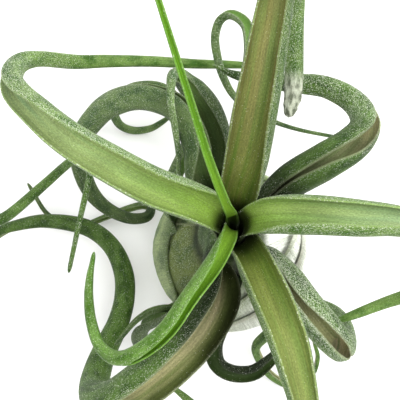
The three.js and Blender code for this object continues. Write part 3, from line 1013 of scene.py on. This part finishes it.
    def _ring(
        self, angle: np.ndarray, outer: np.ndarray, inner: np.ndarray, margin: np.ndarray
    ) -> tuple[np.ndarray, np.ndarray]:
        """The angle and radius of each point round a section.

        Args:
            angle: of the points across the leaf.
            outer: radius of the outer face at each.
            inner: radius of the inner face at each.
            margin: angles round a margin, from the outer face to the inner one.

        Returns:
            Angles and radii: outer face, one margin, inner face back again, the other margin.
        """
        bulges = []
        for end, sign in ((-1, 1), (0, -1)):
            middle, half = (outer[end] + inner[end]) / 2, (outer[end] - inner[end]) / 2
            turn = margin if sign > 0 else margin[::-1]
            beyond = angle[end] + sign * half * np.sin(turn) / max(middle, 0.05)
            bulges.append((beyond, middle + half * np.cos(turn)))
        angles = np.concatenate([angle, bulges[0][0], angle[::-1], bulges[1][0]])
        radii = np.concatenate([outer, bulges[0][1], inner[::-1], bulges[1][1]])
        return angles, radii


LEAVES = (
    Leaf(
        "leaf_01", Finish.YOUNG, layer=0, bearing=109, half=56, top=80,
        dark=1.0,
        course=(
            (-2.7, 3.6, 92, 2.5, 66), (-6.8, 11, 108, 2.2, 76), (-10.3, 19, 122, 1.9, 90),
            (-14, 28, 134, 1.7, 100), (-17.5, 37, 144, 1.5, 110), (-21.5, 48, 152, 1.3, 120),
        ),
        frost=((0, 0.02), (1, 0.04)),
    ),
    Leaf(
        "leaf_02", Finish.YOUNG, layer=0, bearing=236, half=56, top=77,
        dark=1.5,
        course=(
            (-2.5, -6, 87, 4.6, 100, -10), (-6, -13, 93, 4.9, 132, -30),
            (-11.5, -21, 97, 4.7, 144, -40), (-17, -29, 98, 4.6, 148, -46),
            (-23.5, -34, 95, 4.4, 150, -54), (-29, -35.5, 91, 3.9, 150, -64),
            (-33.5, -32.5, 88, 3.2, 148, -72), (-36, -26.5, 86, 2.8, 145, -76),
            (-37, -20, 84, 2.4, 145, -76), (-37, -14.5, 82, 1.9, 140, -76),
            (-36.5, -10.5, 81, 1.3, 135, -76),
        ),
        frost=((0, 0.06), (0.3, 0.04), (0.7, 0.06), (1, 0.08)),
    ),
    Leaf(
        "leaf_03", Finish.BRIGHT, layer=1, bearing=8, half=60, top=73,
        dark=9.0,
        course=(
            (7, 0.2, 85, 8.4, 92, -8), (12.5, 0, 91, 9.8, 128, -14), (20.5, -0.8, 95, 9.9, 138, -17),
            (30.5, -1.7, 96, 9.2, 141, -20), (41, -1.9, 92, 7.7, 138, -20),
            (50.5, -3.5, 84, 6.4, 138, -20), (56, -8, 74, 5.8, 138, -15), (56, -13, 65, 4.9, 134, -8),
            (50.5, -16, 58, 4.2, 125), (43, -18.5, 53.5, 3.5, 130), (35, -21.5, 51.2, 2.9, 130),
            (28, -24, 49.5, 1.5, 130),
        ),
        frost=((0, 0.2), (0.12, 0.24), (0.25, 0.16), (0.45, 0.12), (0.6, 0.04), (1, 0.03)),
        warm=((0, 0.1), (0.3, 0.35), (1, 0.2)),
    ),
    Leaf(
        "leaf_04", Finish.BRIGHT, layer=1, bearing=155, half=60, top=72,
        dark=9.0,
        course=(
            (-7, 3, 84, 9.2, 105, -6), (-12.5, 4.5, 90, 10, 126, -10), (-21, 7, 95, 10, 124, -14),
            (-31, 12, 98, 9.6, 124, -17), (-41, 18, 99, 8.9, 126, -22), (-49, 25, 97, 8, 130, -34),
            (-56.5, 33.5, 91, 6.9, 138, -50), (-57, 40.5, 84, 5.8, 140, -35),
            (-52.5, 44.5, 77, 5.1, 110), (-43.5, 46.5, 68, 4.6, 116), (-34.5, 49.5, 59, 4, 122),
            (-23.5, 52.5, 49, 3.5, 128), (-10.5, 54.5, 40, 3.1, 130), (2, 56, 34, 2.5, 130),
            (14, 56.5, 30, 1.4, 130),
        ),
        frost=(
            (0, 0.22), (0.15, 0.22), (0.3, 0.24), (0.42, 0.26), (0.52, 0.17), (0.62, 0.04),
            (1, 0.01),
        ),
        warm=((0, 0.1), (0.3, 0.5), (1, 0.2)),
    ),
    Leaf(
        "leaf_05", Finish.OLIVE, layer=2, bearing=295, half=58, top=67,
        dark=19.0,
        course=(
            (4, -8.5, 80, 8.6, 100, -6), (6.5, -15.5, 88, 9.8, 120, -9),
            (9.5, -23.5, 93, 10.2, 122, -11), (12.5, -32, 95, 9.8, 123, -12),
            (14.5, -39, 93, 8.8, 124, -12), (16.5, -46, 88, 7.6, 126, -12),
            (18, -52.5, 81, 6.5, 130, -10), (16, -58, 73, 5.6, 130), (9.5, -60.5, 65, 4.8, 112),
            (2, -58, 58, 4, 120), (-5.5, -51.5, 53, 3.2, 126), (-12, -45.5, 49, 2.4, 130),
            (-17, -41.5, 46, 1.4, 130),
        ),
        frost=((0, 0.2), (0.15, 0.2), (0.4, 0.14), (1, 0.07)),
        warm=((0, 0.1), (0.2, 0.3), (1, 0.2)),
    ),
    Leaf(
        "leaf_06", Finish.OLIVE, layer=2, bearing=80, half=58, top=66,
        dark=15.0,
        shade=((0, 0.38), (0.5, 0.35), (0.62, 0)),
        course=(
            (1.5, 8.2, 80, 10, 90, -6), (3.5, 15.5, 88, 11.2, 112, -16), (5.5, 26, 95, 11.3, 120, -21),
            (7.5, 36.5, 99, 10.6, 122, -22), (9.5, 47.5, 101, 9.6, 124, -22),
            (11.5, 58.5, 97, 8.4, 124, -20), (14.5, 67.5, 88, 7.2, 122, -12),
            (16.5, 69.5, 78, 6.3, 106), (17.2, 65, 72, 5.6, 112), (17.2, 57.5, 68, 5.4, 116),
            (17.3, 49.5, 65, 5.3, 120), (17.3, 43, 63, 5.3, 120), (17, 39, 62, 5.1, 118),
            (16.5, 36.4, 62, 4.2, 116),
        ),
        frost=((0, 0.21), (0.15, 0.24), (0.3, 0.17), (0.45, 0.13), (0.7, 0.15), (1, 0.18)),
        warm=((0, 0.3), (0.4, 0.7), (1, 0.4)),
        dry=15.0,
    ),
    Leaf(
        "leaf_07", Finish.TAWNY, layer=4, bearing=205, half=45, top=60,
        dark=46.0,
        shade=(
            (0, 0.1), (0.045, 0.2), (0.065, 0.95), (0.1, 1), (0.125, 0.9), (0.15, 0.3),
            (0.18, 0.12), (0.3, 0.12), (0.38, 0.2), (0.44, 0.3), (0.6, 0.38), (0.7, 0.05), (1, 0),
        ),
        course=(
            (-5, -9, 73, 10.4, 98, 4), (-5, -18.5, 79, 12.4, 124, 15), (-9.6, -27.5, 81, 12.8, 130, 19),
            (-17, -35.5, 79, 12.8, 133, 20), (-24.5, -41.5, 74, 12.4, 135, 21),
            (-31, -45, 67, 11.6, 136, 23), (-36, -44.5, 58.5, 10, 134, 24),
            (-38, -41, 50, 8.6, 130, 22), (-37.5, -35.5, 43, 7.7, 126, 20),
            (-35.5, -29, 37, 7, 122, 20), (-33, -22.5, 32, 6.5, 116, 18),
            (-31.5, -15, 28, 6.2, 118, 18), (-32, -7, 25, 6, 120, 18), (-35.5, 1, 23, 5.6, 120, 18),
            (-41.5, 6.5, 22, 5.3, 120, 18), (-49, 9, 22, 4.9, 122, 20), (-58.5, 9.5, 23, 4.3, 124, 40),
            (-67, 7, 26, 4, 126, 70), (-72, 3.5, 31, 3.6, 128, 100), (-74, 3.5, 36, 3.4, 130, 130),
            (-71, 6, 40, 3.3, 130, 150), (-65, 8, 43, 3.2, 130, 165), (-54, 15.5, 50, 2.8, 130, 170),
            (-48, 19.5, 55, 2.6, 130, 170), (-43.5, 21.5, 60, 2.4, 130, 170),
            (-40, 20.5, 63, 2.2, 130, 170), (-39.5, 16, 63, 1.9, 130, 170),
            (-41, 10, 60, 1.7, 130, 170), (-43, 3, 56, 1.5, 130, 170), (-45.5, -7.5, 52, 1.3, 130, 170),
        ),
        frost=((0, 0.12), (0.1, 0.1), (0.25, 0.08), (0.35, 0.05), (0.8, 0.06), (0.9, 0.12), (1, 0.16)),
        warm=((0, 0.2), (0.08, 0.7), (0.2, 0.6), (1, 0.6)),
        lean=1.0,
    ),
    Leaf(
        "leaf_08", Finish.TAWNY, layer=3, bearing=36, half=58, top=56,
        dark=22.0,
        shade=((0, 1), (0.17, 0.95), (0.24, 0.6), (0.34, 0.3), (0.4, 0.45), (0.46, 0), (1, 0)),
        course=(
            (9.5, 7.5, 66, 8.5, 160, 4), (15.5, 12.5, 71, 9.6, 172, 6), (24.5, 17.5, 73, 10.2, 166, 8),
            (32, 22.5, 71, 9.8, 156, 20), (36.5, 28.5, 66, 8.8, 158, 28),
            (36.5, 34.5, 61, 7.7, 160, 36), (33, 39.5, 57, 7.1, 146, 38), (27, 43, 54, 6.6, 116, 50),
            (20.5, 45, 51, 5.9, 120, 60), (13, 46, 50, 4.8, 124, 60), (6, 47, 50, 3.5, 128, 60),
            (0.5, 48.5, 50, 2.3, 130, 60), (-2.5, 50, 50, 1.4, 130, 60),
        ),
        frost=(
            (0, 0.16), (0.14, 0.14), (0.2, 0.05), (0.32, 0.05), (0.4, 0.14), (0.5, 0.26),
            (0.6, 0.2), (1, 0.2),
        ),
        warm=((0, 0.1), (0.3, 0.2), (0.4, 0.35), (0.5, 0.7), (1, 0.7)),
    ),
    Leaf(
        "leaf_09", Finish.DARK, layer=3, bearing=131, half=35, top=52,
        dark=20.0,
        shade=(
            (0, 0.1), (0.1, 0.4), (0.15, 0.4), (0.24, 0.1), (0.3, 0), (0.4, 0), (0.48, 0.5),
            (0.68, 0.7), (0.76, 0.1), (0.88, 0.4), (1, 0.4),
        ),
        course=(
            (-9.5, 15, 59, 8, 110), (-10, 23.5, 62, 7.8, 138, 15), (-12, 30, 61, 8, 155, 20),
            (-15.5, 36, 58, 8, 160, 12), (-21, 40, 53, 8, 162, 2), (-28, 42.5, 47, 8, 164, -4),
            (-35.5, 42, 40, 7.8, 160, 10), (-41, 39.5, 33, 7.3, 148, 30), (-45.5, 35, 26, 6.8, 130, 50),
            (-47, 29, 20, 6.2, 120, 50), (-44.5, 21, 15, 5.4, 122, 50), (-39.5, 15.5, 12, 4.4, 124, 50),
            (-32, 12, 11, 3.8, 126, 50), (-26, 12.5, 10, 3.4, 128, 50), (-24.5, 16, 7.5, 2.9, 130, 50),
            (-27.5, 17.5, 4.5, 2.6, 130, 50), (-33, 16.5, 2.5, 2.4, 130, 50),
            (-40, 14, 1.5, 2.1, 130, 50), (-47.5, 11.5, 1.2, 1.8, 130, 50),
            (-55, 13, 1.5, 1.6, 130, 50), (-59.5, 15.5, 3, 1.5, 130, 50), (-63.5, 22, 7, 1.3, 130, 50),
        ),
        frost=((0, 0.09), (0.15, 0.06), (0.3, 0.11), (0.45, 0.11), (0.6, 0.04), (1, 0.02)),
        warm=((0, 0.2), (1, 0.3)),
    ),
    Leaf(
        "leaf_10", Finish.DARK, layer=3, bearing=272, half=56, top=46,
        dark=30.0,
        shade=((0, 1), (0.7, 1), (1, 0.7)),
        course=(
            (-1, -16.5, 52, 7, 70), (-3, -24.5, 50, 6, 84), (-4.5, -30, 46, 5.4, 95),
            (-3.5, -35, 43, 5.2, 105), (0.5, -37.5, 42, 5.2, 112), (6, -37.5, 42, 4.8, 118),
            (10, -35, 43, 4, 122), (13, -32, 45, 2.8, 126), (14, -29, 47, 1.4, 130),
        ),
        frost=((0, 0.12), (0.5, 0.2), (1, 0.3)),
    ),
    Leaf(
        "leaf_11", Finish.TAWNY, layer=5, bearing=318, half=56, top=44,
        dark=9.0,
        shade=((0, 0), (0.2, 0.08), (0.25, 0.05), (0.3, 0.1), (0.36, 0), (1, 0)),
        course=(
            (10.5, -8, 57, 8.6, 140), (14.5, -13, 63, 9.3, 168, 4), (19, -20, 66, 9.7, 166, 2),
            (24, -26, 65.5, 9.6, 158, -5), (27.5, -29.6, 62.5, 9, 156, -8), (30, -31.2, 57, 8, 172, -4),
            (31.5, -28.5, 50, 7.1, 168), (31.5, -24.5, 44.5, 6.3, 150), (29.5, -20.5, 39, 5.5, 116),
            (25, -18, 35, 4.7, 120), (20.5, -19, 30, 4.2, 122), (15.5, -23, 25, 3.6, 124),
            (11, -26, 19, 3.4, 126), (8.5, -29, 13, 3.1, 128), (10, -33, 7.5, 3, 130),
            (13.5, -37.5, 3.5, 2.7, 130), (19, -40.5, 1.5, 2.5, 130), (24.5, -40, 2, 2.2, 130),
            (27.5, -36.5, 5, 1.9, 130), (28.5, -32, 8, 1.6, 130), (27.5, -28.5, 10, 1.3, 130),
        ),
        frost=((0, 0.4), (0.12, 0.36), (0.2, 0.32), (0.24, 0.22), (0.45, 0.15), (0.6, 0.06), (1, 0.05)),
        warm=((0, 0.1), (0.12, 0.35), (0.24, 0.3), (0.32, 0.9), (1, 0.9)),
    ),
    Leaf(
        "leaf_12", Finish.DARK, layer=6, bearing=88, half=46, top=44,
        dark=8.0,
        shade=((0, 0), (1, 0)),
        course=(
            (0.5, 15.5, 53, 6, 80), (0.5, 20, 58, 4.6, 92), (1, 26, 62, 4.5, 100),
            (2.5, 34, 64, 4.7, 106), (4.5, 43.5, 62, 4.3, 112), (5.5, 53.5, 58, 3.8, 118),
            (4.5, 62, 54, 3.5, 120), (0.5, 66.5, 50, 3.3, 122), (-2.7, 66, 47, 3.1, 124),
            (-4.2, 61.5, 45, 3, 126), (-3.5, 56, 43, 2.8, 128), (-1.8, 50.5, 41, 2.6, 130),
            (1.5, 45, 39, 2.3, 130), (7, 41, 38, 2, 130), (13, 37.5, 38, 1.6, 130),
            (21, 34.5, 39, 1.3, 130), (32, 32, 40, 1.2, 130),
        ),
        frost=((0, 0.12), (0.5, 0.12), (1, 0.06)),
    ),
    Leaf(
        "leaf_13", Finish.DARK, layer=7, bearing=96, half=44, top=41,
        dark=8.0,
        shade=((0, 0.65), (0.22, 0.65), (0.4, 0.1), (0.5, 0)),
        course=(
            (-4, 22, 46, 8, 90), (-4, 30, 47, 8.8, 130, -5), (-6.5, 38, 47, 8.8, 150, -10),
            (-10, 43.5, 47, 8, 150, -10), (-13, 46, 50, 6.2, 145, -5), (-15, 46.5, 56, 4.6, 140),
            (-16.5, 44.5, 63, 3.4, 140), (-17, 40.5, 67, 2.6, 140), (-17, 35.5, 68, 2.2, 140),
            (-16, 29.5, 66, 1.9, 140), (-15, 23, 61, 1.6, 140), (-15, 18.5, 57, 1.3, 140),
        ),
        frost=((0, 0.1), (0.5, 0.12), (1, 0.16)),
        warm=((0, 0.1), (0.6, 0.2), (1, 0.9)),
    ),
    Leaf(
        "leaf_14", Finish.DARK, layer=6, bearing=246, half=20, top=41,
        dark=6.0,
        shade=((0, 0.55), (1, 0.45)),
        course=(
            (-14, -19.5, 44, 7, 76), (-20.5, -22, 37, 6, 92), (-25.5, -24, 30, 5.8, 104),
            (-26.5, -27.5, 22, 5.4, 108), (-23, -31, 15, 4.8, 112), (-17, -32, 12, 4.4, 116),
            (-12.5, -29.5, 14, 3.9, 120), (-10.5, -26.5, 21, 3.4, 124), (-12, -22.5, 30, 3, 126),
            (-16, -19.5, 38, 2.7, 128), (-22, -20, 43, 2.2, 130), (-27, -23, 44, 1.8, 130),
            (-31.5, -28, 43, 1.3, 130),
        ),
        frost=((0, 0.12), (1, 0.05)),
    ),
    Leaf(
        "leaf_15", Finish.DARK, layer=5, bearing=160, half=64, top=40,
        dark=6.0,
        course=(
            (-20, 13, 42, 6.5, 80), (-16.5, 21, 41, 5.6, 100), (-13, 30, 37, 5.2, 106),
            (-11.5, 38, 31, 4.9, 112), (-14.5, 44.5, 29, 4.6, 116), (-21, 50.5, 26, 4.1, 120),
            (-29, 52, 22, 3.8, 122), (-34.5, 50.5, 16, 3.5, 124), (-37, 47.5, 9, 3.1, 126),
            (-35.5, 44.5, 3.5, 2.8, 128), (-31, 43, 1.7, 2.6, 130), (-25.5, 43.5, 2.2, 2.3, 130),
            (-21.5, 45, 5, 1.9, 130), (-18.5, 46.5, 8, 1.3, 130),
        ),
        frost=((0, 0.12), (1, 0.05)),
    ),
    Leaf(
        "leaf_16", Finish.PALE, layer=6, bearing=322, half=54, top=38,
        dark=3.0,
        course=(
            (14, -14, 43, 11, 40), (13.5, -13.5, 47, 5, 50), (13, -13, 50, 1.6, 60),
        ),
        frost=((0, 0.2), (1, 0.3)),
    ),
)


# ---------------------------------------------------------------- foot


@dataclass(frozen=True)
class Foot:
    """The short stem inside the bulb and the dry pad of root stubs that the plant rests on."""

    node: str = "stem"
    sides: int = 72
    rough: float = 0.16  # height of the stem's bumps
    flutes: int = 17
    flute: float = 0.09  # height of a flute
    stubs: int = 30
    stub_shift: float = 0.3  # how far a stub stands from its even place, as a share of the space
    stub_swing: float = 0.35  # how far it bends aside, in radians
    stub_height: float = 2.6  # where it leaves the stem
    stub_wave: float = 0.5  # how far it bends up or down
    stub_taper: float = 0.45  # share of its radius that it loses to its end
    stub_radius: tuple[float, float] = (0.28, 0.5)
    stub_reach: tuple[float, float] = (7.2, 8.9)
    stub_rings: int = 12
    stub_sides: int = 8
    stub_start: float = 2.5  # from the axis, inside the stem

    def core(self) -> tuple[list[Vector], list[list[int]]]:
        """Shapes the stem on its pad, fluted and uneven.

        Returns:
            Its points, and the corners of each face.
        """
        stem = BULB.stem
        outline = [
            (0.0, 0.0), (5.0, 0.0), (7.6, 0.0), (8.35, 0.12), (8.5, 0.4), (8.2, 0.75), (7.2, 0.95),
            (5.9, 1.2), *[(stem(z), z) for z in (1.6, 3, 5, 8, 11, 14, 17, 18.6)],
            (0.6, BULB.stem_top + 0.3), (0.0, BULB.stem_top + 0.4),
        ]
        points = [Vector((0, 0, outline[0][1]))]
        for radius, z in outline[1:-1]:
            for i in range(self.sides):
                a = math.tau * i / self.sides
                rough = self.rough * wander(math.cos(a) * 4, math.sin(a) * 4, z * 0.25)
                rough += self.flute * math.sin(self.flutes * a)
                grown = radius + (rough if z > 0.05 else 0.0) * min(1.0, radius / 3)
                points.append(Vector((grown * math.cos(a), grown * math.sin(a), z)))
        points.append(Vector((0, 0, outline[-1][1])))
        n, rings = self.sides, len(outline) - 2
        faces = [[0, 1 + (i + 1) % n, 1 + i] for i in range(n)]
        for r in range(rings - 1):
            for i in range(n):
                a, b = 1 + r * n + i, 1 + r * n + (i + 1) % n
                faces.append([a, b, b + n, a + n])
        last = 1 + (rings - 1) * n
        faces += [[last + i, last + (i + 1) % n, len(points) - 1] for i in range(n)]
        return points, faces

    def stub(self, bearing: float, reach: float, radius: float, seed: float) -> list[Vector]:
        """The rings of one root stub, from inside the stem out over the pad.

        Args:
            bearing: its direction in radians.
            reach: how far from the middle it ends.
            radius: its radius at the stem.
            seed: tells its bends from the others'.

        Returns:
            Its points, ring by ring.
        """
        points = []
        last = self.stub_rings - 1
        for k in range(self.stub_rings):
            share = k / last
            turn = bearing + self.stub_swing * share * wander(share * 2, seed, 0)
            out = self.stub_start + (reach - self.stub_start) * share
            drop = self.stub_height * (1 - share) + self.stub_wave * wander(share * 3, seed, 4)
            low = max(radius * 1.05, drop)
            size = radius * (1 - self.stub_taper * share) * (1 if k < last else 0.45)
            for j in range(self.stub_sides):
                b = math.tau * j / self.stub_sides
                side, up = size * math.cos(b), size * math.sin(b)
                x = out * math.cos(turn) - side * math.sin(turn)
                y = out * math.sin(turn) + side * math.cos(turn)
                points.append(Vector((x, y, max(0.02, low + up))))
        return points

    def mesh(self, rng: np.random.Generator) -> bpy.types.Mesh:
        """The stem, the pad and its stubs in one mesh.

        Args:
            rng: the seeded draws.

        Returns:
            The mesh, each body of it closed.
        """
        points, faces = self.core()
        n, last = self.stub_sides, self.stub_rings - 1
        for i in range(self.stubs):
            bearing = math.tau * (i + rng.uniform(-self.stub_shift, self.stub_shift)) / self.stubs
            reach, radius = rng.uniform(*self.stub_reach), rng.uniform(*self.stub_radius)
            start = len(points)
            points += self.stub(bearing, reach, radius, float(i))
            for k in range(start, start + last * n, n):
                faces += [[k + j, k + (j + 1) % n, k + n + (j + 1) % n, k + n + j] for j in range(n)]
            faces.append([start + j for j in range(n)][::-1])
            faces.append([start + last * n + j for j in range(n)])
        return closed_mesh("foot", points, faces)


# ---------------------------------------------------------------- studio


@dataclass(frozen=True)
class Studio:
    """A white floor, soft light from all round and a camera over the plant. Lengths in metres."""

    eye: tuple[float, float, float] = (-0.00884, -0.04645, 0.37643)
    tilt: float = 10.0  # degrees from straight down
    lens: float = 103.86
    floor_half: float = 1.5
    sky: float = 0.36
    target: float = 0.05  # height that the lamps face
    # Where each soft box hangs, its side and its power in watts.
    lamps: tuple[tuple[str, tuple[float, float, float], float, float], ...] = (
        ("lamp_top", (0.08, -0.12, 0.8), 0.5, 6.5),
        ("lamp_right", (0.75, 0.1, 0.5), 0.5, 6.0),
        ("lamp_left", (-0.75, 0.2, 0.4), 0.6, 2.5),
        ("lamp_front", (0.0, -0.8, 0.45), 0.6, 2.0),
        ("lamp_back", (0.1, 0.85, 0.45), 0.6, 4.0),
    )

    def camera(self) -> None:
        """Makes the camera and hands it to the scene."""
        data = bpy.data.cameras.new("camera")
        data.lens, data.sensor_width = self.lens, 36.0
        data.clip_start, data.clip_end = 0.01, 20.0
        camera = bpy.data.objects.new("camera", data)
        camera.location = self.eye
        camera.rotation_euler = (math.radians(self.tilt), 0.0, 0.0)
        bpy.context.scene.collection.objects.link(camera)
        bpy.context.scene.camera = camera

    def floor(self) -> None:
        """Lays the white floor under the plant."""
        h = self.floor_half
        mesh = bpy.data.meshes.new("floor")
        mesh.from_pydata([(-h, -h, 0), (h, -h, 0), (h, h, 0), (-h, h, 0)], [], [[0, 1, 2, 3]])
        shop = NodeShop("white_floor")
        place = shop.add("ShaderNodeTexCoord", {}, {}, "Object")
        grain = shop.cloud(place, PLASTER)
        colour = shop.mix(grain, linear("#f6f6f5"), linear("#f9f9f9"))
        shop.finish(colour, 0.7 + 0.1 * grain, grain, 0.0001)
        mesh.materials.append(shop.material)
        floor = bpy.data.objects.new("floor", mesh)
        bpy.context.scene.collection.objects.link(floor)

    def lamp(self, name: str, place: tuple[float, float, float], size: float, watts: float) -> None:
        """Hangs one soft box that faces the plant.

        Args:
            name: the lamp's name.
            place: where it hangs.
            size: its side.
            watts: its power.
        """
        data = bpy.data.lights.new(name, "AREA")
        data.shape, data.size, data.energy = "SQUARE", size, watts
        lamp = bpy.data.objects.new(name, data)
        lamp.location = place
        towards = Vector((0, 0, self.target)) - Vector(place)
        lamp.rotation_euler = towards.to_track_quat("-Z", "Y").to_euler()
        bpy.context.scene.collection.objects.link(lamp)

    def light(self) -> None:
        """Lights the plant from all round, with more from above and from the right."""
        world = bpy.data.worlds.new("studio")
        world.use_nodes = True
        back = world.node_tree.nodes["Background"]
        back.inputs["Color"].default_value = (1, 1, 1, 1)
        back.inputs["Strength"].default_value = self.sky
        bpy.context.scene.world = world
        for name, place, size, watts in self.lamps:
            self.lamp(name, place, size, watts)

    def build(self) -> None:
        """Sets up camera, floor and light, and shows colours as they are."""
        self.camera()
        self.floor()
        self.light()
        bpy.context.scene.view_settings.view_transform = "Standard"


# ---------------------------------------------------------------- the plant


@dataclass
class AirPlant:
    """The plant: its foot and its leaves, each riding on the frame in its own CAD node's place."""

    seed: int = 11
    body: str = "root"
    finishes: dict[Finish, bpy.types.Material] = field(default_factory=dict)

    def place(
        self, name: str, mesh: bpy.types.Mesh, material: bpy.types.Material, slot: str
    ) -> bpy.types.Object:
        """Puts a mesh in the scene as a piece of the plant.

        Args:
            name: the piece's name.
            mesh: its mesh, in the plant's own frame.
            material: its finish.
            slot: the record's material slot; not used.

        Returns:
            The piece.
        """
        mesh.materials.append(material)
        piece = bpy.data.objects.new(name, mesh)
        bpy.context.scene.collection.objects.link(piece)
        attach(piece, self.body)
        log.info("%s: %d faces", name, len(mesh.polygons))
        return piece

    def build_foot(self) -> None:
        """Makes the stem and the pad."""
        foot = Foot()
        mesh = foot.mesh(np.random.default_rng(self.seed))
        piece = self.place("foot", mesh, RootFinish().dress("dry_root"), "stem")
        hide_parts(foot.node)

    def build_leaves(self) -> None:
        """Makes each leaf and its coat of scales."""
        self.finishes = {kind: made.dress(kind.value) for kind, made in LEAF_FINISHES.items()}
        silver = SCALE_FINISH.dress("silver_scales")
        for number, leaf in enumerate(LEAVES, 1):
            skin = leaf.skin(float(number))
            name = f"{leaf.node}_skin"
            slot = leaf.finish.value
            piece = self.place(name, skin.mesh(name), self.finishes[leaf.finish], slot)
            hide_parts(leaf.node)
            rng = np.random.default_rng(self.seed + number)
            name = f"{leaf.node}_scales"
            self.place(name, Coat().mesh(name, skin, rng), silver, slot)


def main() -> None:
    """Builds the studio and the plant."""
    logging.basicConfig(level=logging.INFO, format="%(message)s")
    Studio().build()
    plant = AirPlant()
    plant.build_foot()
    plant.build_leaves()


if __name__ == "__main__":
    main()
